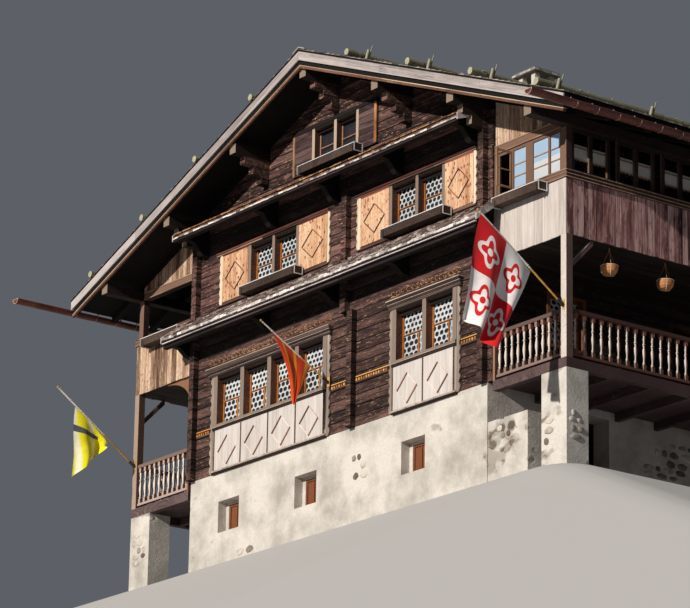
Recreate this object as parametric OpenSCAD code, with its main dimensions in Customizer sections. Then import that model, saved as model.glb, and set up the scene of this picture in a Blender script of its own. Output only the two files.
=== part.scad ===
// Alpine chalet: a squared-log house on a whitewashed stone basement,
// with a low gable roof, two pent roofs across the front, and a covered
// veranda with a gallery over it along each side.
// Millimetres. +X runs along the gable front, +Y from front to back, +Z up.
// The origin is on the ground, at the centre of the log body's plan.

/* [House] */
// Width of the log body over its side walls
house_w = 9560; // [9400:20:9700]
// Depth of the log body from front wall to back wall
house_d = 10000; // [10000:980:10980]
// Height of the stone basement above the ground
plinth_h = 2200; // [2000:50:2600]
// Thickness of the basement walls
plinth_t = 450; // [400:10:600]
// Thickness of the squared-log walls
log_t = 160; // [140:10:180]
// Length of the log heads that stand past each corner
lap = 130; // [100:10:180]
// Height of the lower storey of logs
lower_h = 2350; // [2350:10:2400]
// Height of the upper storey of logs
upper_h = 2400; // [2380:10:2420]
// Log courses in each storey
courses = 11; // [9:1:12]
// Depth of the groove between two logs
groove = 12; // [6:1:16]

/* [Roof] */
// Height of the ridge above the foot of the logs
ridge_h = 7770; // [7700:10:7850]
// Rise of the roof for each unit of run
pitch = 0.404; // [0.4:0.002:0.41]
// Distance from the ridge line to each eave
eave_x = 8090; // [7900:10:8200]
// Overhang of the roof past each gable
verge = 950; // [900:10:1000]
// Upright thickness of boards and shingles
roof_t = 170; // [150:10:200]
// Upright depth of the rafters
rafter_h = 150; // [120:10:170]
// Side of the square purlins
purlin_s = 200; // [180:10:220]

/* [Pent roofs] */
// Reach of the lower pent roof from the wall
pent1_y = 585; // [500:5:650]
// Reach of the upper pent roof from the wall
pent2_y = 680; // [600:5:750]

/* [Verandas] */
// Distance from the house's centre line to the outer face of the galleries
side_x = 6990; // [6900:10:7050]
// How much lower the left veranda lies than the right one
left_drop = 150; // [0:10:200]
// Spacing of the turned balusters
bal_pitch = 175; // [150:5:210]
// Side of the square posts
post_s = 150; // [130:5:170]

/* [Chimney] */
// Side of the square chimney stack
chim_s = 520; // [450:10:560]
// Side of the stone slab over the chimney
cap_s = 700; // [650:10:800]

/* [Hidden] */

gap = 1;                             // joint between timbers of one node

D = house_d;
W = house_w / 2;
T = log_t;
Z2 = lower_h;
Z3 = lower_h + upper_h;
under = ridge_h - roof_t;            // underside of the roof boards at the ridge
ptop = under - rafter_h;             // underside of the rafters at the ridge
PX = [0, 2360, 4695, 6960];          // purlin positions from the ridge
function purlin_top(x) = ptop - pitch * (x + purlin_s / 2);
RY = [for (k = [-1:11]) 100 + (D - 200) / 10 * k];   // rafter positions
chim_x = 980;
chim_y = 4360;

// the house frame: y = 0 is the face of the front wall, z = 0 the foot of the logs
module house() { translate([0, -D / 2, plinth_h]) children(); }
// the same thing seen from the back
module at_back() { translate([0, D, 0]) mirror([0, 1, 0]) children(); }
// the same thing on the left
module at_left() { mirror([1, 0, 0]) children(); }
module box(x0, x1, y0, y1, z0, z1) { translate([x0, y0, z0]) cube([x1 - x0, y1 - y0, z1 - z0]); }

// outline of a wall of squared logs, t thick and h high, n courses
function log_outline(t, h, n, g = groove, e = groove * 0.7) =
  let (c = h / n)
  concat([[0, 0]],
    [for (i = [1:n - 1]) for (q = [[0, -e], [g, 0], [0, e]]) [q[0], i * c + q[1]]],
    [[0, h], [t, h]],
    [for (i = [n - 1:-1:1]) for (q = [[0, e], [-g, 0], [0, -e]]) [t + q[0], i * c + q[1]]],
    [[t, 0]]);
// wall along X, its outer face at y = 0
module wall_x(x0, x1, z0, h, n) {
  translate([x0, 0, z0]) rotate([90, 0, 90]) linear_extrude(x1 - x0) polygon(log_outline(T, h, n));
}
// wall along Y, its outer face at x = W
module wall_y(y0, y1, z0, h, n) {
  translate([W - T, y1, z0]) rotate([90, 0, 0]) linear_extrude(y1 - y0) polygon(log_outline(T, h, n));
}
// heads of a wall that meets the wall from inside
module log_heads(x0, z0, h, n) {
  translate([x0, 0, z0]) rotate([90, 0, 0]) linear_extrude(lap) polygon(log_outline(T, h, n));
}

// ---- windows ----
// [x0, count, light width, post width, sill z, head z] of each front group
LG_L = [-3985, 4, 800, 130, 967, 2050];
LG_R = [1960, 2, 800, 120, 967, 2050];
UG_L = [-2885, 2, 730, 90, 3600, 4600];
UG_R = [1800, 2, 730, 90, 3600, 4600];
AG = [-770, 2, 640, 90, 5640, 6510];
function gw(g) = g[1] * g[2] + (g[1] + 1) * g[3];
// back windows, one light pair each
BX = [-2900, 0, 2900];
function BG(x, sill, head) = [x - 480, 2, 360, 80, sill, head];
BGA = BG(0, 5640, 6510);
// side windows: centres along y
SY_low = [1900, 8100];
SY_up = [1900, 8100];

module group_cut(g) { box(g[0], g[0] + gw(g), -400, T + 100, g[4], g[5]); }
// posts, sill, head and sashes of one window group
module group_frame(g, proud, set) {
  w = gw(g);
  for (i = [0:g[1]]) let (x = g[0] + i * (g[2] + g[3])) box(x, x + g[3], -proud, T, g[4], g[5]);
  box(g[0] - 0, g[0] + w, -proud - 30, T, g[4], g[4] + 45);
  box(g[0], g[0] + w, -proud, T, g[5] - 50, g[5]);
  for (i = [0:g[1] - 1]) let (x = g[0] + g[3] + i * (g[2] + g[3])) sash(x, x + g[2], set, g[4] + 45, g[5] - 50);
}
// one glazed leaf with a transom bar
module sash(x0, x1, y, z0, z1) {
  s = 45;
  zt = z0 + (z1 - z0) * 0.52;
  difference() {
    box(x0, x1, y, y + 45, z0, z1);
    box(x0 + s, x1 - s, y - 10, y + 60, z0 + s, zt - 15);
    box(x0 + s, x1 - s, y - 10, y + 60, zt + 15, z1 - s);
  }
}
module group_glass(g, set) {
  s = 45;
  for (i = [0:g[1] - 1]) let (x = g[0] + g[3] + i * (g[2] + g[3]), z0 = g[4] + 45, z1 = g[5] - 50, zt = z0 + (z1 - z0) * 0.52) {
    box(x + s, x + g[2] - s, set + 18, set + 24, z0 + s, zt - 15);
    box(x + s, x + g[2] - s, set + 18, set + 24, zt + 15, z1 - s);
  }
}
// side windows use the same frame, turned to the right-hand wall
module on_right(y) { translate([W, y, 0]) rotate([0, 0, 90]) children(); }
SG = function(sill, head) [-480, 2, 360, 80, sill, head];
module side_cut(y, sill, head) { box(W - T - 100, W + 100, y - 480, y + 480, sill, head); }
DY = 5000;        // door centre along y
module door_cut(z) { box(W - T - 100, W + 100, DY - 480, DY + 480, z, z + 2050); }

// ---- foundation ----
BW = [-3420, -820, 2580];
module foundation_front() color("whitesmoke") house() difference() {
  box(-W, W, 0, plinth_t, -plinth_h, 0);
  for (x = BW) {
    box(x - 360, x + 360, -50, 200, -1250, -600);
    box(x - 260, x + 260, 100, plinth_t + 50, -1190, -660);
  }
}
module foundation_back() color("whitesmoke") house() at_back() difference() {
  box(-W, W, 0, plinth_t, -plinth_h, 0);
  for (x = BW) {
    box(x - 360, x + 360, -50, 200, -1250, -600);
    box(x - 260, x + 260, 100, plinth_t + 50, -1190, -660);
  }
}
module foundation_side() box(W - plinth_t, W, plinth_t, D - plinth_t, -plinth_h, 0);
module foundation_right() color("whitesmoke") house() difference() {
  foundation_side();
  box(W - plinth_t - 50, W + 50, 2000, 2950, -plinth_h + 120, -180);
}
module foundation_left() color("whitesmoke") house() at_left() foundation_side();
module basement_floor() color("gray") house()
  floor_round_chimney(W - plinth_t, plinth_t, D - plinth_t, -plinth_h, -plinth_h + 120);
module basement_frame(x) {
  difference() {
    box(x - 260, x + 260, 210, 260, -1190, -660);
    box(x - 215, x - 12, 200, 270, -1145, -705);
    box(x + 12, x + 215, 200, 270, -1145, -705);
  }
  box(x - 215, x + 215, 232, 238, -1145, -705);
}
module basement_windows() color("saddlebrown") house() {
  for (x = BW) { basement_frame(x); at_back() basement_frame(x); }
  // plank door of the basement, under the right veranda, standing open inwards
  box(W - plinth_t - 930, W - plinth_t, 1940, 1995, -plinth_h + 125, -190);
}
module pier(x0, x1, y0, y1, top) box(x0, x1, y0, y1, -plinth_h, top);
module veranda_piers() color("whitesmoke") house() {
  // right-hand piers
  pier(6295, side_x, 20, 530, -190);
  pier(6295, side_x, 4745, 5255, -190);
  pier(6295, side_x, D - 530, D - 20, -190);
  // low wall under the right deck, short of the corner pier
  pier(W, 5910, 20, 400, -760);
  // left-hand piers
  pier(-side_x, -6295, 20, 530, -190 - left_drop);
  pier(-side_x, -6295, 4745, 5255, -190 - left_drop);
  pier(-side_x, -6295, D - 530, D - 20, -190 - left_drop);
}

// ---- floors ----
module floor_round_chimney(x1, y0, y1, z0, z1) {
  box(-x1, chim_x - chim_s / 2, y0, y1, z0, z1);
  box(chim_x + chim_s / 2, x1, y0, y1, z0, z1);
  box(chim_x - chim_s / 2 + gap, chim_x + chim_s / 2 - gap, y0, chim_y - chim_s / 2, z0, z1);
  box(chim_x - chim_s / 2 + gap, chim_x + chim_s / 2 - gap, chim_y + chim_s / 2, y1, z0, z1);
}
module living_floor() color("burlywood") house() floor_round_chimney(W - plinth_t, plinth_t, D - plinth_t, -180, 0);
module upper_floor() color("burlywood") house() floor_round_chimney(W - T, T, D - T, Z2 - 130, Z2);
module attic_floor() color("burlywood") house() floor_round_chimney(W - T, T, D - T, Z3 - 130, Z3);

// ---- log walls ----
module lower_front_wall() color("#4d3830") house() {
  difference() {
    wall_x(-W + T, W - T, 0, lower_h, courses);
    group_cut(LG_L); group_cut(LG_R);
  }
  log_heads(610, 0, lower_h, courses);
}
module lower_back_wall() color("#4d3830") house() at_back() {
  difference() {
    wall_x(-W + T, W - T, 0, lower_h, courses);
    for (x = BX) group_cut(BG(x, 967, 2050));
  }
  log_heads(-780, 0, lower_h, courses);
}
module side_wall(z, h, n) {
  wall_y(-lap, D + lap, z, h, n);
  translate([W, 0, 0]) wall_x(0, lap, z, h, n);
  translate([W, D - T, 0]) wall_x(0, lap, z, h, n);
}
module lower_right_wall() color("#4d3830") house() difference() {
  side_wall(0, lower_h, courses);
  for (y = SY_low) side_cut(y, 967, 2050);
  door_cut(0);
}
module lower_left_wall() color("#4d3830") house() at_left() difference() {
  side_wall(0, lower_h, courses);
  for (y = SY_low) side_cut(y, 967, 2050);
  door_cut(0);
}
knee = purlin_top(PX[2]) - purlin_s;       // top of the side walls
module upper_front_wall() color("#4d3830") house() {
  difference() {
    wall_x(-W + T, W - T, Z2, upper_h, courses);
    group_cut(UG_L); group_cut(UG_R);
  }
  log_heads(370, Z2, upper_h, courses);
}
module upper_back_wall() color("#4d3830") house() at_back() {
  difference() {
    wall_x(-W + T, W - T, Z2, upper_h, courses);
    for (x = BX) group_cut(BG(x, 3500, 4500));
  }
  log_heads(-540, Z2, upper_h, courses);
}
module upper_side() difference() {
  side_wall(Z2, knee - Z2, courses + 2);
  for (y = SY_up) side_cut(y, 3500, 4300);
  door_cut(Z2);
}
module upper_right_wall() color("#4d3830") house() upper_side();
module upper_left_wall() color("#4d3830") house() at_left() upper_side();

// outline of the gable under the rafters
module gable_prism(y0, y1) {
  translate([0, y1, 0]) rotate([90, 0, 0]) linear_extrude(y1 - y0)
    polygon([[-W + T, Z3], [W - T, Z3], [W - T, ptop - pitch * (W - T)], [0, ptop], [-W + T, ptop - pitch * (W - T)]]);
}
module purlin_cuts() {
  for (s = [-1, 1]) for (x = PX) let (z = purlin_top(x))
    box(s * x - purlin_s / 2, s * x + purlin_s / 2, -1500, D + 1500, z - purlin_s, z + 60);
}
// stepped log heads that carry a purlin in front of the gable
module corbel(x, w = 170) {
  z = purlin_top(abs(x)) - purlin_s;
  box(x - w / 2, x + w / 2, -620, 0, z - 170, z);
  box(x - w / 2, x + w / 2, -400, 0, z - 340, z - 170);
  box(x - w / 2, x + w / 2, -200, 0, z - 510, z - 340);
}
module gable(g) {
  difference() {
    intersection() {
      wall_x(-W + T, W - T, Z3, 2840, 13);
      gable_prism(0, T);
    }
    purlin_cuts();
    group_cut(g);
  }
  for (x = [0, PX[1], -PX[1]]) corbel(x);
  for (x = [PX[2], -PX[2]]) let (z = purlin_top(PX[2]) - purlin_s) {
    // heads of the topmost cross logs beside the side walls
    s = sign(x);
    box(min(s * (W - T - 150), s * (W - T)), max(s * (W - T - 150), s * (W - T)), -200, 0, Z3 + 250, z);
  }
}
module attic_front_gable() color("#453029") house() gable(AG);
module attic_back_gable() color("#453029") house() at_back() gable(BGA);

// ---- pent roofs across the front ----
module pent(x0, x1, reach, top, h, rise) {
  // boarded and shingled slope
  translate([x0, 0, 0]) rotate([90, 0, 90]) linear_extrude(x1 - x0)
    polygon([[0, top + rise], [-reach, top], [-reach, top - 120], [0, top + rise - 120]]);
  // underside of the slope at a distance y from the wall
  function low(y) = top + rise - 120 - gap - y * rise / reach;
  // eaves beam
  translate([x0 + 60, 0, 0]) rotate([90, 0, 90]) linear_extrude(x1 - x0 - 120)
    polygon([[-reach + 30, low(reach - 30)], [-reach + 110, low(reach - 110)], [-reach + 110, top - h], [-reach + 30, top - h]]);
  // brackets
  for (x = [x0 + 200, x0 + (x1 - x0) * 0.28, x0 + (x1 - x0) * 0.5, x0 + (x1 - x0) * 0.72, x1 - 340])
    translate([x, 0, 0]) rotate([90, 0, 90]) linear_extrude(140)
      polygon([[0, low(0)], [-reach + 110 + gap, low(reach - 110 - gap)], [-reach + 110 + gap, top - h + 20], [-reach * 0.55, top - h], [-reach * 0.25, top - 390], [0, top - 410]]);
}
module heads_clear(z0, z1) {
  // room for the log heads at the corners and at the cross wall
  for (s = [-1, 1]) box(min(s * (W - T - 1), s * (W + 1)), max(s * (W - T - 1), s * (W + 1)), -lap - 1, 1, z0, z1);
}
module lower_pent_roof() color("gainsboro") house() difference() {
  pent(-5150, 5150, pent1_y, 3050, 250, 450);
  heads_clear(2000, 3700);
  for (s = [-1, 1]) box(min(s * W, s * 5400), max(s * W, s * 5400), 0 - 10, 30, 2000, 3700);
  box(369, 541, -lap - 1, 1, Z2 - 1, 3700);
  box(609, 781, -lap - 1, 1, 2000, Z2 + 1);
}
module upper_pent_roof() color("gainsboro") house() difference() {
  pent(-4700, 4690, pent2_y, 5135, 150, 450);
  heads_clear(4000, 6000);
  box(369, 541, -lap - 1, 1, Z2, Z3 + 1);
  for (s = [-1, 1]) box(min(s * (W - T - 151), s * (W - T)), max(s * (W - T - 151), s * (W - T)), -201, 1, Z3 + 249, 6000);
}

// ---- front window groups ----
module lower_windows() color("#6b4a35") house() {
  group_frame(LG_L, 50, 115);
  group_frame(LG_R, 50, 115);
  at_back() for (x = BX) group_frame(BG(x, 967, 2050), 20, 90);
  for (y = SY_low) { on_right(y) group_frame(SG(967, 2050), 20, 90); at_left() on_right(y) group_frame(SG(967, 2050), 20, 90); }
}
module window_glass() color("lightblue", 0.5) house() {
  group_glass(LG_L, 115);
  group_glass(LG_R, 115);
  group_glass(UG_L, 112);
  group_glass(UG_R, 112);
  group_glass(AG, 100);
  at_back() {
    for (x = BX) { group_glass(BG(x, 967, 2050), 90); group_glass(BG(x, 3500, 4500), 90); }
    group_glass(BGA, 90);
  }
  for (y = SY_low) for (q = [[967, 2050], [3500, 4300]]) {
    on_right(y) group_glass(SG(q[0], q[1]), 90);
    at_left() on_right(y) group_glass(SG(q[0], q[1]), 90);
  }
}
module panels(x0, n, z0) {
  for (i = [0:n - 1]) box(x0 + i * 928, x0 + i * 928 + 900, -45, -12, z0, 905);
}
module drop_panels() color("#e1d4cd") house() {
  panels(-3910, 4, 50);
  panels(1995, 2, 30);
}
// carved board with a wavy edge on one side
module wavy(x, w, z0, z1, side, a = 16, n = 7) {
  translate([x, -12, z0]) rotate([90, 0, 0]) linear_extrude(30)
    polygon(concat(
      [for (i = [0:48]) [side * (w + a * sin(i / 48 * 360 * n)), (z1 - z0) * i / 48]],
      [[0, z1 - z0], [0, 0]]));
}
module cornice(x0, x1, z) {
  translate([x0, 0, z]) rotate([90, 0, 90]) linear_extrude(x1 - x0)
    polygon([[0, 0], [-60, 0], [-60, 45], [-85, 60], [-85, 110], [-120, 135], [-120, 175], [0, 200]]);
}
module carved_trim() color("#8d7464") house() {
  // lower left group
  cornice(-4180, -14, 2052);
  wavy(-3987, 85, 0, 2050, -1);
  wavy(-133, 85, 0, 2050, 1);
  for (i = [0:4]) box(-3938 + i * 928, -3912 + i * 928, -55, -0, 50, 905);
  box(-3985, -135, -75, 0, 905, 965);
  box(-3985, -135, -60, 0, 10, 48);
  // lower right group
  cornice(1850, 4052, 2052);
  wavy(1958, 78, 0, 2050, -1);
  wavy(3922, 78, 0, 2050, 1);
  for (i = [0:2]) box(1967 + i * 928, 1993 + i * 928, -55, -0, 30, 905);
  box(1960, 3920, -75, 0, 905, 965);
  box(1960, 3920, -60, 0, -8, 28);
  // carved frieze across the logs at sill height
  for (q = [[-4600, -4095], [0, 600], [790, 1860], [4022, 4600]]) box(q[0], q[1], -22, 0, 895, 985);
  // wavy strips beside the upper shutters
  wavy(-3795, 90, 3560, 4620, -1, 14, 5);
  wavy(-190, 60, 3560, 4620, 1, 10, 5);
  wavy(890, 115, 3560, 4620, -1, 14, 5);
  wavy(4390, 75, 3560, 4620, 1, 10, 5);
  // drip boards over the upper groups
  box(-4000, -150, -70, 0, 4640, 4690);
  box(720, 4480, -70, 0, 4640, 4690);
}
module upper_windows() color("#6b4a35") house() {
  group_frame(UG_L, 40, 112);
  group_frame(UG_R, 40, 112);
  at_back() for (x = BX) group_frame(BG(x, 3500, 4500), 20, 90);
  for (y = SY_up) { on_right(y) group_frame(SG(3500, 4300), 20, 90); at_left() on_right(y) group_frame(SG(3500, 4300), 20, 90); }
}
module upper_shutters() color("#d7a574") house() {
  box(-3790, -2889, -45, -10, 3600, 4610);
  box(-1151, -195, -45, -10, 3600, 4610);
  box(895, 1796, -45, -10, 3600, 4610);
  box(3534, 4385, -45, -10, 3600, 4610);
}
module attic_windows() color("#6b4a35") house() {
  group_frame(AG, 40, 100);
  at_back() group_frame(BGA, 20, 90);
}
module attic_shutters() color("#5a463c") house() {
  box(-1400, -772, -45, -10, 5640, 6510);
  box(772, 1370, -45, -10, 5640, 6510);
}
// plain framed doors onto the verandas and the galleries, standing open inwards
module door_set(z) {
  box(W - T, W, DY - 480, DY - 400 - gap, z, z + 2050);
  box(W - T, W, DY + 400 + gap, DY + 480, z, z + 2050);
  box(W - T, W, DY - 400, DY + 400, z + 1970 + gap, z + 2050);
  box(W - T - 790, W - T, DY - 398, DY - 343, z + 5, z + 1960);
}
module side_doors() color("#6b4a35") house() {
  door_set(0);
  door_set(Z2);
  at_left() door_set(0);
  at_left() door_set(Z2);
}

// ---- verandas ----
module deck(drop) {
  translate([0, 0, -drop]) {
    // beams
    box(W + lap, side_x, 20, 160, -190, -30 - gap);
    box(W + lap, side_x, D - 160, D - 20, -190, -30 - gap);
    box(side_x - 140, side_x, 160 + gap, D - 160 - gap, -190, -30 - gap);
    for (y = [1180:980:8900]) box(W, side_x - 140 - gap, y - 50, y + 50, -190, -30 - gap);
    // floor boards
    box(W, side_x, T + gap, D - T - gap, -30, 0);
    box(W + lap, side_x, 20, T, -30, 0);
    box(W + lap, side_x, D - T, D - 20, -30, 0);
  }
}
module veranda_decks() color("#b9a6a4") house() {
  deck(0);
  at_left() deck(left_drop);
}
VY = [95, 3365, 6660, D - 95];      // post positions along each side
module post_set(drop) {
  for (y = VY) box(side_x - post_s, side_x, y - post_s / 2, y + post_s / 2, -drop, 2330);
  // half posts against the log corners
  for (y = [95, D - 95]) box(W + lap, W + lap + 60, y - 75, y + 75, -drop, 2330);
  // braces
  for (y = [VY[0], VY[3]]) {
    if (y < D - 200) translate([side_x - 115, y + post_s / 2 + gap, 0]) rotate([90, 0, 90]) linear_extrude(80)
      polygon([[0, 1800], [0, 1700], [520, 2230], [520, 2330], [500, 2330]]);
    if (y > 200) translate([side_x - 115, y - post_s / 2 - gap, 0]) rotate([90, 0, 90]) linear_extrude(80)
      polygon([[0, 1800], [0, 1700], [-520, 2230], [-520, 2330], [-500, 2330]]);
  }
}
module veranda_posts() color("#e8dcd2") house() {
  post_set(0);
  at_left() post_set(left_drop);
  // curved board brace by the left log corner
  at_left() translate([0, 115, 0]) rotate([90, 0, 0]) linear_extrude(40)
    polygon(concat([[W + lap + 60 + gap, 2330], [W + lap + 60 + gap, 1700]],
      [for (i = [0:8]) let (a = 90 * i / 8) [W + lap + 60 + 900 - 880 * cos(a), 1700 + 600 * sin(a)]],
      [[W + lap + 60 + 900, 2330]]));
}
// one turned baluster with square blocks at its ends, z from 0 to h
module baluster(h) {
  translate([-33, -33, 0]) cube([66, 66, 95]);
  rotate_extrude($fn = 20) polygon([[0, 90], [24, 90], [24, 108], [33, 120], [33, 132], [20, 146], [24, 200], [34, 270],
    [36, 310], [30, 380], [20, 440], [20, 466], [33, 480], [33, 494], [20, 508], [23, 560], [31, 620], [24, 650], [24, 670], [0, 670]]);
  translate([-33, -33, h - 95]) cube([66, 66, 95]);
}
rail_z = 870;
module rail_x(x0, x1, y) {
  box(x0, x1, y - 45, y + 45, rail_z, rail_z + 70);
  box(x0, x1, y - 35, y + 35, 60, 110);
  n = floor((x1 - x0 - 60) / bal_pitch);
  for (i = [0:n]) translate([x0 + (x1 - x0 - n * bal_pitch) / 2 + i * bal_pitch, y, 110]) baluster(rail_z - 110);
}
module rail_y(y0, y1, x) {
  box(x - 45, x + 45, y0, y1, rail_z, rail_z + 70);
  box(x - 35, x + 35, y0, y1, 60, 110);
  p = bal_pitch * 1.17;
  n = floor((y1 - y0 - 60) / p);
  for (i = [0:n]) translate([x, y0 + (y1 - y0 - n * p) / 2 + i * p, 110]) baluster(rail_z - 110);
}
module front_rails() {
  rail_x(W + lap + 60, side_x - post_s, 95);
  rail_x(W + lap + 60, side_x - post_s, D - 95);
}
module side_rails() {
  for (i = [0:2]) rail_y(VY[i] + post_s / 2, VY[i + 1] - post_s / 2, side_x - post_s / 2);
}
module right_railing() color("#e6d8c6") house() { front_rails(); side_rails(); }
module left_railing() color("#e6d8c6") house() at_left() translate([0, 0, -left_drop]) { front_rails(); side_rails(); }

// ---- galleries ----
sill0 = 3400;
sill1 = 3550;
lint0 = 4398;
module gallery_floor_side() {
  box(W, side_x - 30, T, D - T, 2330, 2430);
  box(W + lap, side_x - 30, 50, T, 2330, 2430);
  box(W + lap, side_x - 30, D - T, D - 50, 2330, 2430);
}
module gallery_floors() color("#5b4338") house() {
  gallery_floor_side();
  at_left() gallery_floor_side();
}
GP = [side_x - 25 - post_s, side_x - 25];
module gallery_frame_side() {
  // posts of the gallery
  for (y = VY) let (c = y + (y < 200 ? 20 : 0) - (y > D - 200 ? 20 : 0))
    box(GP[0], GP[1], c - 68, c + 68, 2430, lint0);
  for (y = [115, D - 115]) box(W + lap, W + lap + 60, y - 68, y + 68, 2430, lint0);
  // sill beams
  box(W + lap + 60 + gap, GP[0] - gap, 0, 130, sill0, sill1);
  box(GP[0], side_x + 30, 0, 45, sill0, sill1);
  box(GP[1] + gap, side_x + 30, 45 + gap, D - 45 - gap, sill0, sill1);
  box(W + lap + 60 + gap, GP[0] - gap, D - 130, D, sill0, sill1);
  box(GP[0], side_x + 30, D - 45, D, sill0, sill1);
  // lintels at the ends
  box(W + lap, GP[0] - gap, 45, 185, lint0 + gap, lint0 + 170);
  box(W + lap, GP[0] - gap, D - 185, D - 45, lint0 + gap, lint0 + 170);
}
module gallery_beams() color("#54392e") house() {
  gallery_frame_side();
  at_left() gallery_frame_side();
}
// boards that close the triangle between lintel and roof
module triangle_boards(y0, y1, from) {
  translate([0, y1, 0]) rotate([90, 0, 0]) linear_extrude(y1 - y0)
    polygon([[from, lint0 + 170], [from, ptop - pitch * from - 5], [6855, ptop - pitch * 6855 - 5], [6855, lint0 + 170]]);
}
module gallery_boards_side() {
  box(W + lap, side_x, 20, 45, 2320, sill0);
  box(W + lap, side_x, D - 45, D - 20, 2320, sill0);
  box(side_x - 25, side_x, 45 + gap, D - 45 - gap, 2320, sill0);
  difference() {
    union() { triangle_boards(60, 85, 4920); triangle_boards(D - 85, D - 60, 4920); }
    purlin_cuts();
  }
}
module right_gallery_boards() color("#efe6e0") house() gallery_boards_side();
module left_gallery_boards() color("#a98e74") house() {
  at_left() gallery_boards_side();
}
// glazing of the right gallery
pair = 1105;
npair = floor((D - 300) / pair);
module pair_frame(y) {
  difference() {
    box(side_x - 90, side_x - 30, y - 70, y + 860, sill1, lint0);
    box(side_x - 100, side_x - 20, y, y + 355, sill1 + 50, lint0 - 60);
    box(side_x - 100, side_x - 20, y + 445, y + 800 - 10, sill1 + 50, lint0 - 60);
  }
}
module gallery_windows() color("#5a3d2f") house() {
  difference() {
    for (i = [0:npair - 1]) pair_frame(245 + i * pair + (i == 0 ? 0 : 0));
    for (y = VY) box(GP[0] - 5, GP[1] + 5, y - 90, y + 95, sill1 - 5, lint0 + 5);
  }
  // front casements
  for (y = [60, D - 105]) {
    difference() {
      box(W + lap + 60, GP[0], y, y + 45, sill1, lint0);
      box(5050, 5400, y - 10, y + 60, sill1 + 45, lint0 - 60);
      box(5450, 5800, y - 10, y + 60, sill1 + 45, lint0 - 60);
      box(6010, 6440, y - 10, y + 60, sill1 + 45, lint0 - 60);
      box(6500, GP[0] - 40, y - 10, y + 60, sill1 + 45, lint0 - 60);
    }
  }
}
module gallery_glass() color("lightblue", 0.5) house() {
  difference() {
    for (i = [0:npair - 1]) let (y = 245 + i * pair) {
      box(side_x - 65, side_x - 59, y, y + 355, sill1 + 50, lint0 - 60);
      box(side_x - 65, side_x - 59, y + 445, y + 790, sill1 + 50, lint0 - 60);
    }
    for (y = VY) box(GP[0] - 5, GP[1] + 5, y - 90, y + 95, sill1 - 5, lint0 + 5);
  }
  for (y = [80, D - 86]) {
    box(5450, 5800, y, y + 6, sill1 + 45, lint0 - 60);
    box(6010, 6440, y, y + 6, sill1 + 45, lint0 - 60);
    box(6500, GP[0] - 40, y, y + 6, sill1 + 45, lint0 - 60);
  }
  box(5050, 5400, D - 86, D - 80, sill1 + 45, lint0 - 60);
}

// ---- roof ----
module purlins() color("#3d2a23") house() {
  for (x = [0, PX[1], -PX[1], PX[2], -PX[2], PX[3], -PX[3]]) let (z = purlin_top(abs(x)))
    translate([x - purlin_s / 2, D + 870, z - purlin_s]) rotate([90, 0, 0]) linear_extrude(D + 1740) square([purlin_s, purlin_s]);
  // stepped heads under the wall purlins, outside the gables
  for (x = [PX[2], -PX[2]]) let (z = purlin_top(PX[2]) - purlin_s) {
    box(x - 80, x + 80, -620, -lap, z - 170, z - gap);
    box(x - 80, x + 80, -400, -lap, z - 340, z - 170 - gap);
    box(x - 80, x + 80, D + lap, D + 620, z - 170, z - gap);
    box(x - 80, x + 80, D + lap, D + 400, z - 340, z - 170 - gap);
  }
}
module slope_slab(z_top, z_bot, y0, y1, x0 = 0, x1 = eave_x) {
  translate([0, y1, 0]) rotate([90, 0, 0]) linear_extrude(y1 - y0)
    polygon([[x0, z_top - pitch * x0], [x1, z_top - pitch * x1], [x1, z_bot - pitch * x1], [x0, z_bot - pitch * x0]]);
}
module rafters() color("#3d2a23") house() {
  for (y = RY) {
    slope_slab(under, ptop, y - 60, y + 60, gap, eave_x - 40);
    at_left() slope_slab(under, ptop, y - 60, y + 60, gap, eave_x - 40);
  }
}
module roof_right() color("silver") house() {
  slope_slab(ridge_h, under, -verge, D + verge, 0, chim_x - chim_s / 2);
  slope_slab(ridge_h, under, -verge, D + verge, chim_x + chim_s / 2, eave_x);
  slope_slab(ridge_h, under, -verge, chim_y - chim_s / 2, chim_x - chim_s / 2 + gap, chim_x + chim_s / 2 - gap);
  slope_slab(ridge_h, under, chim_y + chim_s / 2, D + verge, chim_x - chim_s / 2 + gap, chim_x + chim_s / 2 - gap);
}
module roof_left() color("silver") house() at_left() slope_slab(ridge_h, under, -verge, D + verge);
module verge_half() {
  // grey barge board
  slope_slab(ridge_h - 35, ridge_h - 225, -verge - 30, -verge, gap);
  // brown strip under the verge rafter
  slope_slab(ptop, ptop - 65, -verge + 5, -verge + 50, gap, eave_x - 10);
}
module verge_boards() color("#c8c0ba") house() {
  verge_half();
  at_left() verge_half();
  at_back() { verge_half(); at_left() verge_half(); }
}
module gutter(y0, y1) {
  translate([eave_x + 103, y1, 4290]) rotate([90, 0, 0]) linear_extrude(y1 - y0)
    difference() {
      circle(r = 100, $fn = 40);
      circle(r = 96, $fn = 40);
      translate([-120, 0]) square([240, 120]);
    }
  for (y = [y0, y1 - 4]) translate([eave_x + 103, y + 4, 4290]) rotate([90, 0, 0]) linear_extrude(4)
    difference() { circle(r = 100, $fn = 40); translate([-120, 0]) square([240, 120]); }
  // brackets from the eaves
  for (y = [for (k = [0:11]) 300 + k * (D - 600) / 11])
    box(eave_x - 0, eave_x + 6, y - 15, y + 15, 4280, 4330);
}
module gutters() color("#8a4b35") house() {
  gutter(-1880, D + 950);
  at_left() gutter(-2300, D + 950);
}
SX = [1616, 3554, 5456, 7355];       // distance of the snow logs from the ridge
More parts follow.
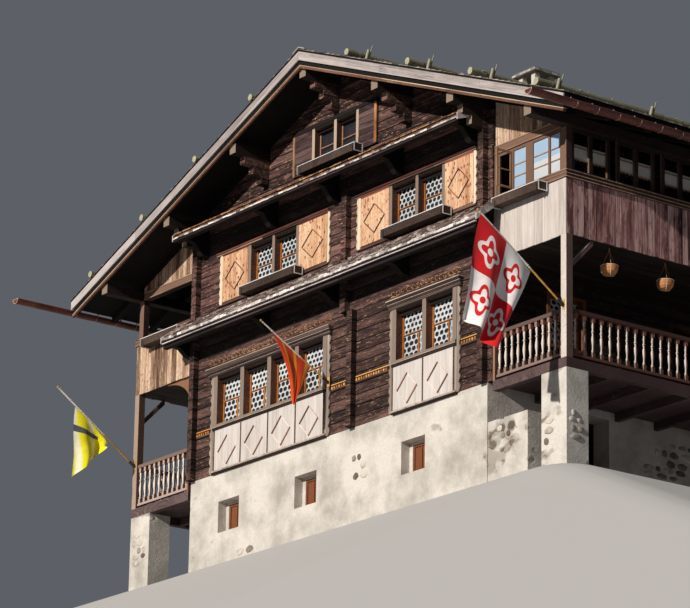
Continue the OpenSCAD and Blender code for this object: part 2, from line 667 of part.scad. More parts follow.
module snow_side() {
  for (x = SX) let (z = ridge_h - pitch * x + 108) {
    translate([x, D + 1000, z]) rotate([90, 0, 0]) cylinder(h = D + 2000, r = 68, $fn = 24);
    // wooden saddles and hooks
    for (y = [for (k = [0:5]) -600 + k * (D + 1200) / 5]) {
      translate([0, y + 40, 0]) rotate([90, 0, 0]) linear_extrude(80)
        polygon([[x - 50, ridge_h - pitch * (x - 50) + gap], [x + 50, ridge_h - pitch * (x + 50) + gap], [x + 50, z - 69], [x - 50, z - 69]]);
      translate([x + 106, y, ridge_h - pitch * (x + 106) - 5]) rotate([0, 22, 0]) cylinder(h = 250, r = 34, $fn = 20);
    }
  }
}
module snow_logs() color("#a39c88") house() difference() {
  union() { snow_side(); at_left() snow_side(); }
  slope_slab(ridge_h + gap, ridge_h - 300, -2000, D + 2000, 0, eave_x + 500);
  at_left() slope_slab(ridge_h + gap, ridge_h - 300, -2000, D + 2000, 0, eave_x + 500);
}
module chimney_stack() color("whitesmoke") house() {
  h0 = chim_s / 2;
  box(chim_x - h0, chim_x + h0, chim_y - h0, chim_y + h0, -plinth_h, -1000 - gap);
  for (q = [[-h0, h0, -h0, -110], [-h0, h0, 110, h0], [-h0, -110, -110 + gap, 110 - gap], [110, h0, -110 + gap, 110 - gap]])
    box(chim_x + q[0], chim_x + q[1], chim_y + q[2], chim_y + q[3], -1000, 7950);
  for (sx = [-1, 1]) for (sy = [-1, 1])
    translate([chim_x + sx * (h0 - 60) - 60, chim_y + sy * (h0 - 60) - 60, 7950 + gap]) cube([120, 120, 230 - gap]);
}
module chimney_cap() color("lightgray") house()
  box(chim_x - cap_s / 2, chim_x + cap_s / 2, chim_y - cap_s / 2, chim_y + cap_s / 2, 8180, 8240);

// ---- boxes, pots, poles and flags ----
// trough filled with soil, on two thin brackets
module trough(x0, x1, y, z, wall = 0) {
  difference() {
    box(x0, x1, y - 200, y, z, z + 160);
    box(x0 + 15, x1 - 15, y - 185, y - 15, z + 135, z + 170);
  }
  for (x = [x0 + 60, x1 - 90]) {
    box(x, x + 30, y - 215, y, z - 20, z);
    box(x, x + 30, y - 215, y - 200, z - 20, z + 110);
    box(x, x + 30, y, wall, z + 85, z + 99);
  }
}
module flower_boxes() color("#c9bfb4") house() {
  trough(-2850, -950, -75, 3500);
  trough(1850, 3780, -75, 3500);
  trough(-800, 1080, -160, 5500);
  // gallery boxes hang on the parapet boards
  trough(5150, 6500, -12, 3260, 20);
  at_left() trough(5150, 6500, -12, 3260, 20);
}
// round pot of soil, hung on three straps under the gallery
module hanging_pot(x, y) {
  z = 1990;
  translate([x, y, z]) {
    difference() {
      rotate_extrude($fn = 40) polygon([[0, -190], [60, -185], [110, -160], [145, -115], [160, -60], [160, 0], [0, 0]]);
      translate([0, 0, -30]) cylinder(h = 60, r = 148, $fn = 40);
    }
    for (a = [90, 210, 330]) rotate([0, 0, a]) translate([152, 0, -8]) rotate([0, -atan(148 / 300), 0]) cylinder(h = 336, r = 4, $fn = 16);
    translate([0, 0, 288]) cylinder(h = 2330 - z - 288, r = 12, $fn = 20);
  }
}
module hanging_pots() color("#b8744a") house() {
  hanging_pot(6800, 1215);
  hanging_pot(6800, 2580);
}
// pole with its bracket, base point on y = y0, leaning out to the front
module pole(x, y0, z, len, lean, r = 18) {
  translate([x, y0, z]) {
    translate([-35, -6, -70]) cube([70, 6, 190]);
    translate([0, -6, 0]) rotate([90 - lean, 0, 0]) {
      cylinder(h = 160, r = r + 8, $fn = 24);
      cylinder(h = len, r = r, $fn = 24);
      translate([0, 0, len]) sphere(r = r + 8, $fn = 20);
    }
  }
}
module flagpoles() color("#c7a14e") house() {
  difference() {
    union() {
      pole(6915, 20, 960, 2420, 35);
      pole(-6915, 20, 760, 2400, 35);
      pole(-50, -50, 1050, 1900, 30, 14);
    }
    box(-8000, 8000, 20, 400, 0, 2000);
    box(-300, 300, -50, 400, 0, 2000);
  }
}
// cloth that hangs under a leaning pole, in the plane of the pole
module hanging_cloth(x, y0, z, lean, d0, d1, drop, gap = 25) {
  p0 = [y0 - d0 * cos(lean), z + d0 * sin(lean) - gap];
  p1 = [y0 - d1 * cos(lean), z + d1 * sin(lean) - gap];
  translate([x - 4, 0, 0]) rotate([90, 0, 90]) linear_extrude(8)
    polygon([p0, p1, [p1[0] + 60, p1[1] - drop], [p1[0] + 420, p1[1] - drop - 420], [p0[0] - 260, p0[1] - drop * 0.55]]);
}
module right_flag() color("#d8202e") house() hanging_cloth(6915, 14, 960, 35, 900, 2380, 1250);
module left_flag() color("#e8d820") house() hanging_cloth(-6915, 14, 760, 35, 1000, 2300, 950);
module pennant() color("#e8501e") house() {
  p0 = [-56 - 700 * cos(30), 1050 + 700 * sin(30) - 22];
  p1 = [-56 - 1850 * cos(30), 1050 + 1850 * sin(30) - 22];
  translate([-54, 0, 0]) rotate([90, 0, 90]) linear_extrude(8)
    polygon([p0, p1, [p0[0] - 350, p0[1] - 560]]);
}

foundation_front();
foundation_back();
foundation_left();
foundation_right();
basement_floor();
basement_windows();
veranda_piers();
living_floor();
upper_floor();
attic_floor();
lower_front_wall();
lower_back_wall();
lower_left_wall();
lower_right_wall();
upper_front_wall();
upper_back_wall();
upper_left_wall();
upper_right_wall();
attic_front_gable();
attic_back_gable();
lower_pent_roof();
upper_pent_roof();
lower_windows();
upper_windows();
attic_windows();
window_glass();
drop_panels();
carved_trim();
upper_shutters();
attic_shutters();
side_doors();
veranda_decks();
veranda_posts();
right_railing();
left_railing();
gallery_floors();
gallery_beams();
right_gallery_boards();
left_gallery_boards();
gallery_windows();
gallery_glass();
purlins();
rafters();
roof_left();
roof_right();
verge_boards();
gutters();
snow_logs();
chimney_stack();
chimney_cap();
flower_boxes();
hanging_pots();
flagpoles();
right_flag();
left_flag();
pennant();
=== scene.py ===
import math
import random
import bpy
import numpy as np
from mathutils import Matrix, Vector


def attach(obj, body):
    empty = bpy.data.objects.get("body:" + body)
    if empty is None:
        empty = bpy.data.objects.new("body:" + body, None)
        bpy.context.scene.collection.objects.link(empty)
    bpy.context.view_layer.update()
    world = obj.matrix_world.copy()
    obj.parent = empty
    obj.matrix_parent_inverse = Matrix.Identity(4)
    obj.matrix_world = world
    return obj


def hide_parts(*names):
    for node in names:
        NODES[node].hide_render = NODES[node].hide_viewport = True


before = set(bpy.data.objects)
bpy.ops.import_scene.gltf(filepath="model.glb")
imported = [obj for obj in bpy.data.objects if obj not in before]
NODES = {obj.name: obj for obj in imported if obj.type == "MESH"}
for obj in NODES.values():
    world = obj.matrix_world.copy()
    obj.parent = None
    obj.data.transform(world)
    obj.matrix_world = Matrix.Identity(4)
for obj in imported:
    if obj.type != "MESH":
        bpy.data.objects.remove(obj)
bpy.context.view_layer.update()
HY, HZ = -5.0, 2.2          # the house frame: y = 0 at the front wall, z = 0 at the foot of the logs


# ---------------------------------------------------------------- camera
def make_camera():
    cam = bpy.data.cameras.new("camera")
    ob = bpy.data.objects.new("camera", cam)
    bpy.context.scene.collection.objects.link(ob)
    fwd = Vector((-0.76618, 0.56930, 0.29810)).normalized()
    up0 = Vector((0.22877, -0.19187, 0.95439))
    right = fwd.cross(up0).normalized()
    up = right.cross(fwd).normalized()
    m = Matrix((
        (right.x, up.x, -fwd.x, 53.200),
        (right.y, up.y, -fwd.y, -44.389),
        (right.z, up.z, -fwd.z, -16.017),
        (0, 0, 0, 1)))
    ob.matrix_world = m
    cam.sensor_fit = "HORIZONTAL"
    cam.sensor_width = 36.0
    cam.lens = 3541.97 / 690 * 36.0
    cam.shift_x = (345.0 - 339.25) / 690
    cam.shift_y = (314.22 - 304.0) / 690
    cam.clip_start = 0.5
    cam.clip_end = 1000
    bpy.context.scene.camera = ob
    return ob


make_camera()
bpy.context.scene.view_settings.view_transform = "Standard"


# ---------------------------------------------------------------- light and floor
def sun(name, direction, strength, angle, color):
    d = bpy.data.lights.new(name, "SUN")
    d.energy = strength
    d.angle = angle
    d.color = color
    o = bpy.data.objects.new(name, d)
    o.rotation_euler = Vector(direction).to_track_quat("-Z", "Y").to_euler()
    bpy.context.scene.collection.objects.link(o)


def floor_height(x, y):
    def soft(d):
        return 0 if d <= 0 else (d * d / 2.0 if d < 1.0 else d - 0.5)
    return -0.52 * soft(-5.35 - y) - 0.45 * soft(x - 7.4)


def make_floor():
    def axis(lo, a, b, hi):
        pts = list(np.linspace(lo, a, 10)) + list(np.linspace(a, a + 2.5, 12)) + list(np.linspace(b - 2.5, b, 12)) + list(np.linspace(b, hi, 10))
        pts += list(np.linspace(a, b, 30))
        return sorted(set(round(float(p), 3) for p in pts))
    xs = axis(-90, -8, 10, 120)
    ys = axis(-120, -8, 7, 90)
    verts = [(x, y, floor_height(x, y)) for y in ys for x in xs]
    n = len(xs)
    faces = [(j * n + i, j * n + i + 1, (j + 1) * n + i + 1, (j + 1) * n + i) for j in range(len(ys) - 1) for i in range(n - 1)]
    me = bpy.data.meshes.new("stage_floor")
    me.from_pydata(verts, [], faces)
    me.polygons.foreach_set("use_smooth", [True] * len(faces))
    o = bpy.data.objects.new("stage_floor", me)
    bpy.context.scene.collection.objects.link(o)
    m = bpy.data.materials.new("stage_floor")
    m.use_nodes = True
    b = [n for n in m.node_tree.nodes if n.type == "BSDF_PRINCIPLED"][0]
    b.inputs["Base Color"].default_value = (0.46, 0.45, 0.44, 1)
    b.inputs["Roughness"].default_value = 0.95
    me.materials.append(m)
    return o


world = bpy.data.worlds.new("studio")
bpy.context.scene.world = world
world.use_nodes = True
world.node_tree.nodes["Background"].inputs[0].default_value = (0.80, 0.88, 1.0, 1)
world.node_tree.nodes["Background"].inputs[1].default_value = 0.135
sun("key", (-0.15, 1, -0.38), 4.3, math.radians(1.2), (1.0, 0.94, 0.86))
floor = make_floor()


# ---------------------------------------------------------------- material kit
def lin(c):
    return tuple(((v / 255) / 12.92 if v / 255 <= 0.04045 else ((v / 255 + 0.055) / 1.055) ** 2.4) for v in c) + (1.0,)


class Shader:
    def __init__(s, name, rough=0.8, spec=0.25):
        s.m = bpy.data.materials.new(name)
        s.m.use_nodes = True
        s.t = s.m.node_tree
        s.b = [n for n in s.t.nodes if n.type == "BSDF_PRINCIPLED"][0]
        s.b.inputs["Roughness"].default_value = rough
        s.b.inputs["Specular IOR Level"].default_value = spec
        s.co = s.t.nodes.new("ShaderNodeTexCoord").outputs["Object"]

    def new(s, kind, **kw):
        n = s.t.nodes.new(kind)
        for k, v in kw.items():
            setattr(n, k, v)
        return n

    def put(s, sock, v):
        if isinstance(v, bpy.types.NodeSocket):
            s.t.links.new(v, sock)
        else:
            sock.default_value = v

    def math(s, op, a, b=0.0, c=0.0, clamp=False):
        n = s.new("ShaderNodeMath", operation=op, use_clamp=clamp)
        s.put(n.inputs[0], a)
        s.put(n.inputs[1], b)
        s.put(n.inputs[2], c)
        return n.outputs[0]

    def vmath(s, op, a, b=(0, 0, 0)):
        n = s.new("ShaderNodeVectorMath", operation=op)
        s.put(n.inputs[0], a)
        s.put(n.inputs[1], b)
        return n.outputs[0]

    def xyz(s, v=None):
        n = s.new("ShaderNodeSeparateXYZ")
        s.put(n.inputs[0], v if v is not None else s.co)
        return n.outputs[0], n.outputs[1], n.outputs[2]

    def vec(s, x, y, z):
        n = s.new("ShaderNodeCombineXYZ")
        for i, v in enumerate((x, y, z)):
            s.put(n.inputs[i], v)
        return n.outputs[0]

    def scaled(s, v, sc):
        return s.vmath("MULTIPLY", v, sc)

    def noise(s, v, detail=3.0, rough=0.55, scale=1.0, dist=0.0):
        n = s.new("ShaderNodeTexNoise")
        s.put(n.inputs["Vector"], v)
        n.inputs["Scale"].default_value = scale
        n.inputs["Detail"].default_value = detail
        n.inputs["Roughness"].default_value = rough
        n.inputs["Distortion"].default_value = dist
        return n.outputs["Fac"]

    def voro(s, v, scale=1.0, feature="F1", out="Distance", rnd=1.0):
        n = s.new("ShaderNodeTexVoronoi", feature=feature)
        s.put(n.inputs["Vector"], v)
        n.inputs["Scale"].default_value = scale
        n.inputs["Randomness"].default_value = rnd
        return n.outputs[out]

    def ramp(s, fac, stops):
        n = s.new("ShaderNodeValToRGB")
        s.put(n.inputs[0], fac)
        e = n.color_ramp.elements
        while len(e) < len(stops):
            e.new(0.5)
        for el, (p, c) in zip(e, stops):
            el.position = p
            el.color = c if len(c) == 4 else lin(c)
        return n.outputs["Color"]

    def step(s, fac, a, b):
        n = s.new("ShaderNodeMapRange")
        s.put(n.inputs["Value"], fac)
        n.inputs["From Min"].default_value = a
        n.inputs["From Max"].default_value = b
        n.inputs["To Min"].default_value = 0.0
        n.inputs["To Max"].default_value = 1.0
        n.clamp = True
        return n.outputs["Result"]

    def mix(s, fac, a, b, mode="MIX"):
        n = s.new("ShaderNodeMix", data_type="RGBA", blend_type=mode)
        s.put(n.inputs[0], fac)
        s.put(n.inputs[6], a if not isinstance(a, tuple) or len(a) == 4 else lin(a))
        s.put(n.inputs[7], b if not isinstance(b, tuple) or len(b) == 4 else lin(b))
        return n.outputs[2]

    def attr(s, name="tint"):
        return s.new("ShaderNodeAttribute", attribute_name=name).outputs["Fac"]

    def normal(s):
        return s.xyz(s.new("ShaderNodeNewGeometry").outputs["Normal"])

    def bump(s, height, strength=0.5, distance=0.01):
        n = s.new("ShaderNodeBump")
        n.inputs["Strength"].default_value = strength
        n.inputs["Distance"].default_value = distance
        s.put(n.inputs["Height"], height)
        s.t.links.new(n.outputs[0], s.b.inputs["Normal"])

    def color(s, c):
        s.put(s.b.inputs["Base Color"], c)

    def rough(s, r):
        s.put(s.b.inputs["Roughness"], r)


AX = {"x": 0, "y": 1, "z": 2}


def wood(name, dark, mid, light, axis, tint=False, pitch=None, pax="z", poff=0.0, vary=0.30, crack=0.55,
         knots=0.0, knot_col=(120, 60, 25), rough=0.82, bump=0.5, seam=0.0, fine=1.0, side=(), grade=(), mottle=0.0,
         fleck=None, after=(), slope=0.0, knot_r=0.0):
    """Wood with its grain along one axis; every plank gets its own grain and tone."""
    s = Shader(name, rough)
    x, y, z = s.xyz()
    if slope:                                   # boards that follow the roof: the grain runs with its slope
        z = s.math("ADD", z, s.math("MULTIPLY", s.math("ABSOLUTE", x), slope))
    c = {"x": x, "y": y, "z": z}
    if tint:
        r = s.attr()
    elif pitch:
        cell = s.math("FLOOR", s.math("DIVIDE", s.math("SUBTRACT", c[pax], poff), pitch))
        wn = s.new("ShaderNodeTexWhiteNoise", noise_dimensions="1D")
        s.put(wn.inputs["W"], cell)
        r = wn.outputs["Value"]
    else:
        r = s.noise(s.scaled(s.co, (0.7, 0.7, 0.7)), 1.0)
    off = s.vec(s.math("MULTIPLY", r, 37.0), s.math("MULTIPLY", r, 91.0), s.math("MULTIPLY", r, 53.0))
    p = s.vmath("ADD", s.vec(x, y, z) if slope else s.co, off)

    def sc(along, across):
        v = [across * fine] * 3
        v[AX[axis]] = along
        return tuple(v)
    g = s.noise(s.scaled(p, sc(1.1, 26.0)), 5.0, 0.62, dist=0.6)
    b = s.noise(s.scaled(p, sc(0.45, 4.0)), 3.0, 0.55)
    k = s.noise(s.scaled(p, sc(1.6, 60.0)), 2.0, 0.5)
    crk = s.step(k, 0.62, 0.70)
    val = s.math("ADD", s.math("MULTIPLY", g, 0.55), s.math("MULTIPLY", b, 0.45))
    val = s.math("ADD", val, s.math("MULTIPLY", s.math("SUBTRACT", r, 0.5), vary))
    col = s.ramp(val, [(0.30, dark), (0.50, mid), (0.68, light)])
    if mottle:                                  # blotches where the surface has weathered unevenly
        mt = s.noise(s.scaled(p, sc(2.4, 9.0)), 4.0, 0.7)
        col = s.mix(s.math("MULTIPLY", s.step(mt, 0.53, 0.66), mottle), col, light)
        col = s.mix(s.math("MULTIPLY", s.math("SUBTRACT", 1.0, s.step(mt, 0.34, 0.47)), mottle), col, dark)
    if fleck:                                   # (colour, share): small bright chips along the grain
        fl = s.noise(s.scaled(p, sc(fleck[2] if len(fleck) > 2 else 7.0, 30.0)), 2.0, 0.6)
        col = s.mix(s.math("MULTIPLY", s.step(fl, 0.62, 0.68), fleck[1]), col, fleck[0])

    def band(q, blur):                          # (axis, from, to, colour, most[, end from, end to[, faces]]): tone along one axis
        ax, a0, a1, gc, most = q[:5]
        v = s.math("ADD", c[ax], s.math("MULTIPLY", s.math("SUBTRACT", b, 0.5), blur)) if blur else c[ax]
        w = s.math("MULTIPLY", s.step(v, a0, a1), most)
        if len(q) > 5:
            w = s.math("MULTIPLY", w, s.math("SUBTRACT", 1.0, s.step(v, q[5], q[6])))
        if len(q) > 7:
            n2 = dict(zip("xyz", s.normal()))
            w = s.math("MULTIPLY", w, s.step(s.math("MULTIPLY", n2[q[7][0]], q[7][1]), -0.2, 0.2))
        return s.mix(s.math("MULTIPLY", w, s.math("ADD", 0.75, s.math("MULTIPLY", g, 0.5))), col, gc)
    for q in grade:
        col = band(q, 0.3)
    for q in side:                              # (axis, sign, colour, share[, last y]): other tone on faces that look one way
        n3 = dict(zip("xyz", s.normal()))
        w = s.math("MULTIPLY", s.step(s.math("MULTIPLY", n3[q[0]], q[1]), 0.35, 0.75), q[3])
        if len(q) > 4:
            w = s.math("MULTIPLY", w, s.math("SUBTRACT", 1.0, s.step(y, q[4], q[4] + 0.02)))
        col = s.mix(s.math("MULTIPLY", w, s.math("ADD", 0.55, s.math("MULTIPLY", g, 0.9)), clamp=True), col, q[2])
    for q in after:
        col = band(q, 0.0)
    col = s.mix(s.math("MULTIPLY", crk, crack), col, (12, 8, 7))
    h = s.math("SUBTRACT", s.math("MULTIPLY", g, 0.7), s.math("MULTIPLY", crk, 0.7))
    if knots:
        sv = [4.2] * 3
        sv[AX[axis]] = 2.6
        d = s.voro(s.scaled(p, tuple(v * knots for v in sv)))
        kn = s.math("SUBTRACT", 1.0, s.step(d, 0.07 + knot_r, 0.16 + knot_r))
        ring = s.math("SUBTRACT", 1.0, s.step(s.math("ABSOLUTE", s.math("SUBTRACT", d, 0.24)), 0.0, 0.08))
        col = s.mix(s.math("MULTIPLY", ring, 0.35), col, knot_col)
        col = s.mix(s.math("MULTIPLY", kn, 0.9), col, tuple(int(v * 0.75) for v in knot_col))
    if seam and pitch:
        f = s.math("FRACT", s.math("DIVIDE", s.math("SUBTRACT", c[pax], poff), pitch))
        e = s.math("MINIMUM", f, s.math("SUBTRACT", 1.0, f))
        sm = s.math("SUBTRACT", 1.0, s.step(e, seam * 0.4 / pitch, seam / pitch))
        col = s.mix(sm, col, (10, 7, 6))
        h = s.math("SUBTRACT", h, s.math("MULTIPLY", sm, 1.2))
    s.color(col)
    s.rough(s.math("ADD", rough - 0.08, s.math("MULTIPLY", g, 0.18)))
    s.bump(h, bump, 0.006)
    return s.m


def plaster(name, amount, low=-99.0, high=99.0, base=(212, 206, 198), stain=(166, 160, 152)):
    """Rough lime plaster; bare stones show through where a broad noise is high."""
    s = Shader(name, 0.93, 0.15)
    x, y, z = s.xyz()
    w = s.noise(s.scaled(s.co, (1.3, 1.3, 1.3)), 4.0, 0.6)
    f = s.noise(s.scaled(s.co, (22, 22, 22)), 5.0, 0.65)
    col = s.mix(s.step(w, 0.40, 0.68), base, stain)
    col = s.mix(s.math("MULTIPLY", s.step(f, 0.45, 0.75), 0.35), col, (150, 143, 134))
    d = s.voro(s.vmath("ADD", s.scaled(s.co, (3.6, 3.6, 5.2)), s.vec(w, w, f)))
    idc = s.voro(s.vmath("ADD", s.scaled(s.co, (3.6, 3.6, 5.2)), s.vec(w, w, f)), out="Color")
    tone = s.xyz(idc)[0]
    bare = s.step(s.noise(s.scaled(s.co, (0.9, 0.9, 1.4)), 3.0, 0.6), 1.0 - amount - 0.03, 1.0 - amount + 0.02)
    inner = s.math("SUBTRACT", 1.0, s.step(d, 0.36, 0.46))
    st = s.ramp(s.math("ADD", s.math("MULTIPLY", tone, 0.7), s.math("MULTIPLY", f, 0.3)),
                [(0.2, (96, 86, 76)), (0.5, (140, 126, 112)), (0.8, (176, 165, 152))])
    m = s.math("MULTIPLY", bare, inner)
    col = s.mix(m, col, st)
    joint = s.math("MULTIPLY", bare, s.math("SUBTRACT", 1.0, inner))
    col = s.mix(s.math("MULTIPLY", joint, 0.5), col, (120, 112, 102))
    s.color(col)
    h = s.math("ADD", s.math("MULTIPLY", f, 0.35), s.math("MULTIPLY", w, 0.5))
    h = s.math("ADD", h, s.math("MULTIPLY", m, 0.5))
    h = s.math("SUBTRACT", h, s.math("MULTIPLY", joint, 0.5))
    s.bump(h, 0.8, 0.03)
    return s.m


def stone(name, dark, mid, light, scale=1.0):
    s = Shader(name, 0.9, 0.2)
    a = s.noise(s.scaled(s.co, (5 * scale,) * 3), 5.0, 0.6)
    f = s.noise(s.scaled(s.co, (45 * scale,) * 3), 4.0, 0.6)
    r = s.attr()
    v = s.math("ADD", s.math("MULTIPLY", a, 0.6), s.math("MULTIPLY", f, 0.4))
    v = s.math("ADD", v, s.math("MULTIPLY", s.math("SUBTRACT", r, 0.5), 0.5))
    s.color(s.ramp(v, [(0.3, dark), (0.5, mid), (0.7, light)]))
    s.bump(s.math("ADD", f, a), 0.6, 0.012)
    return s.m


def shingle(name, dark, mid, light, moss=0.0, axis="x"):
    """Split shingles; the tint of each shingle comes with its mesh."""
    s = Shader(name, 0.88, 0.2)
    r = s.attr()
    p = s.vmath("ADD", s.co, s.vec(s.math("MULTIPLY", r, 31.0), s.math("MULTIPLY", r, 57.0), 0.0))
    v = [46.0] * 3
    v[AX[axis]] = 3.0
    g = s.noise(s.scaled(p, tuple(v)), 4.0, 0.6)
    b = s.noise(s.scaled(s.co, (1.1, 1.1, 1.1)), 3.0, 0.6)
    val = s.math("ADD", s.math("ADD", s.math("MULTIPLY", g, 0.35), s.math("MULTIPLY", r, 0.30)), s.math("MULTIPLY", b, 0.35))
    col = s.ramp(val, [(0.30, dark), (0.50, mid), (0.72, light)])
    if moss:
        w = s.step(s.noise(s.scaled(s.co, (2.3, 2.3, 2.3)), 5.0, 0.65), 0.56, 0.66)
        col = s.mix(s.math("MULTIPLY", w, moss), col, (96, 98, 62))
    crk = s.step(s.noise(s.scaled(p, tuple(q * 1.8 if q > 10 else q for q in v)), 2.0, 0.5), 0.63, 0.70)
    col = s.mix(s.math("MULTIPLY", crk, 0.5), col, (28, 22, 20))
    s.color(col)
    s.bump(s.math("SUBTRACT", g, crk), 0.6, 0.006)
    return s.m


def metal(name, dark, mid, light, rough=0.45, metallic=0.0):
    s = Shader(name, rough, 0.5)
    s.b.inputs["Metallic"].default_value = metallic
    a = s.noise(s.scaled(s.co, (3, 3, 3)), 4.0, 0.6)
    f = s.noise(s.scaled(s.co, (30, 30, 30)), 4.0, 0.65)
    v = s.math("ADD", s.math("MULTIPLY", a, 0.6), s.math("MULTIPLY", f, 0.4))
    s.color(s.ramp(v, [(0.32, dark), (0.5, mid), (0.68, light)]))
    s.rough(s.math("ADD", rough - 0.1, s.math("MULTIPLY", f, 0.25)))
    s.bump(f, 0.15, 0.003)
    return s.m


def glass(name, tint=(0.80, 0.86, 0.88, 1), alpha=0.30, rough=0.06):
    s = Shader(name, rough, 0.6)
    w = s.noise(s.scaled(s.co, (9, 9, 9)), 2.0, 0.5)
    s.color(s.mix(w, tint, (tint[0] * 0.85, tint[1] * 0.9, tint[2] * 0.95, 1)))
    s.b.inputs["Alpha"].default_value = alpha
    s.b.inputs["IOR"].default_value = 1.5
    s.bump(w, 0.08, 0.01)
    return s.m


def soil(name):
    s = Shader(name, 0.98, 0.1)
    a = s.noise(s.scaled(s.co, (18, 18, 18)), 5.0, 0.7)
    d = s.voro(s.scaled(s.co, (55, 55, 55)))
    s.color(s.ramp(s.math("ADD", s.math("MULTIPLY", a, 0.7), s.math("MULTIPLY", d, 0.3)),
                   [(0.3, (34, 24, 18)), (0.5, (62, 45, 33)), (0.7, (98, 76, 56))]))
    s.bump(s.math("ADD", a, d), 1.0, 0.02)
    return s.m


# ---------------------------------------------------------------- mesh kit
class Build:
    """Collects closed solids of one piece, with a tone for each."""

    def __init__(s, seed=1):
        s.v, s.f, s.t, s.mi = [], [], [], []
        s.r = random.Random(seed)

    def solid(s, verts, faces, t=None, m=0):
        n = len(s.v)
        s.v += [(x, y + HY, z + HZ) for x, y, z in verts]
        s.f += [tuple(n + i for i in f) for f in faces]
        s.t += [s.r.random() if t is None else t] * len(verts)
        s.mi += [m] * len(faces)

    def hexa(s, p, t=None, m=0):
        """p: four corners below, four above, in the same order round."""
        s.solid(p, [(3, 2, 1, 0), (4, 5, 6, 7), (0, 1, 5, 4), (1, 2, 6, 5), (2, 3, 7, 6), (3, 0, 4, 7)], t, m)

    def box(s, x0, x1, y0, y1, z0, z1, t=None, m=0, j=0.0):
        if j:
            x0, x1, y0, y1, z0, z1 = (v + s.r.uniform(-j, j) for v in (x0, x1, y0, y1, z0, z1))
        s.hexa([(x0, y0, z0), (x1, y0, z0), (x1, y1, z0), (x0, y1, z0), (x0, y0, z1), (x1, y0, z1), (x1, y1, z1), (x0, y1, z1)], t, m)

    def prism(s, pts, axis, lo, hi, t=None, m=0):
        """pts: counter-clockwise outline seen against the axis; axis x: (y, z); y: (x, z); z: (x, y)."""
        n = len(pts)

        def at(a, b, w):
            return (w, a, b) if axis == "x" else ((a, w, b) if axis == "y" else (a, b, w))
        verts = [at(a, b, lo) for a, b in pts] + [at(a, b, hi) for a, b in pts]
        bottom = tuple(range(n))
        top = tuple(range(2 * n - 1, n - 1, -1))
        sides = [(i, i + n, (i + 1) % n + n, (i + 1) % n) for i in range(n)]
        if axis != "y":
            bottom, top = bottom[::-1], top[::-1]
            sides = [q[::-1] for q in sides]
        s.solid(verts, [bottom, top] + sides, t, m)

    def tube(s, p0, p1, r0, r1=None, n=16, t=None, m=0, up=(0, 0, 1)):
        r1 = r0 if r1 is None else r1
        a, b = Vector(p0), Vector(p1)
        d = (b - a).normalized()
        u = d.cross(Vector(up))
        if u.length < 1e-4:
            u = d.cross(Vector((1, 0, 0)))
        u.normalize()
        w = d.cross(u)
        ring0 = [tuple(a + (u * math.cos(2 * math.pi * i / n) + w * math.sin(2 * math.pi * i / n)) * r0) for i in range(n)]
        ring1 = [tuple(b + (u * math.cos(2 * math.pi * i / n) + w * math.sin(2 * math.pi * i / n)) * r1) for i in range(n)]
        faces = [tuple(range(n))[::-1], tuple(range(n, 2 * n))] + [(i, (i + 1) % n, (i + 1) % n + n, i + n) for i in range(n)]
        s.solid(ring0 + ring1, faces, t, m)

    def revolve(s, cx, cy, z0, prof, n=24, t=None, m=0):
        """prof: (r, z) from bottom to top, closed at both ends by the axis."""
        verts = [(cx, cy, z0 + prof[0][1])]
        for r, z in prof:
            verts += [(cx + r * math.cos(2 * math.pi * i / n), cy + r * math.sin(2 * math.pi * i / n), z0 + z) for i in range(n)]
        verts.append((cx, cy, z0 + prof[-1][1]))
        k = len(prof)
        faces = [(0, 1 + (i + 1) % n, 1 + i) for i in range(n)]
        for j in range(k - 1):
            a = 1 + j * n
            faces += [(a + i, a + (i + 1) % n, a + n + (i + 1) % n, a + n + i) for i in range(n)]
        a = 1 + (k - 1) * n
        faces += [(a + i, a + (i + 1) % n, len(verts) - 1) for i in range(n)]
        s.solid(verts, faces, t, m)

    def done(s, name, mats, replaces=(), smooth=None):
        me = bpy.data.meshes.new(name)
        me.from_pydata(s.v, [], s.f)
        a = me.attributes.new("tint", "FLOAT", "POINT")
        a.data.foreach_set("value", s.t)
        for m in mats:
            me.materials.append(m)
        me.polygons.foreach_set("material_index", s.mi)
        if smooth:
            me.polygons.foreach_set("use_smooth", [True] * len(s.f))
        me.validate()
        me.update()
        o = bpy.data.objects.new(name, me)
        bpy.context.scene.collection.objects.link(o)
        if smooth:
            md = o.modifiers.new("edges", "EDGE_SPLIT")
            md.split_angle = math.radians(smooth)
        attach(o, "root")
        if replaces:
            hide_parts(*replaces)
        return o


def wear(node, mat):
    ob = NODES[node]
    if not ob.material_slots:
        ob.data.materials.append(mat)
    for sl in ob.material_slots:
        sl.material = mat


def planks(b, a0, a1, wmin, wmax, put, gap=0.004):
    """Splits a0..a1 into boards of random width and calls put(board, from, to)."""
    a = a0
    while a < a1 - 0.01:
        w = b.r.uniform(wmin, wmax)
        if a1 - (a + w) < wmin * 0.7:
            w = a1 - a
        put(b, a, min(a + w, a1) - gap)
        a += w


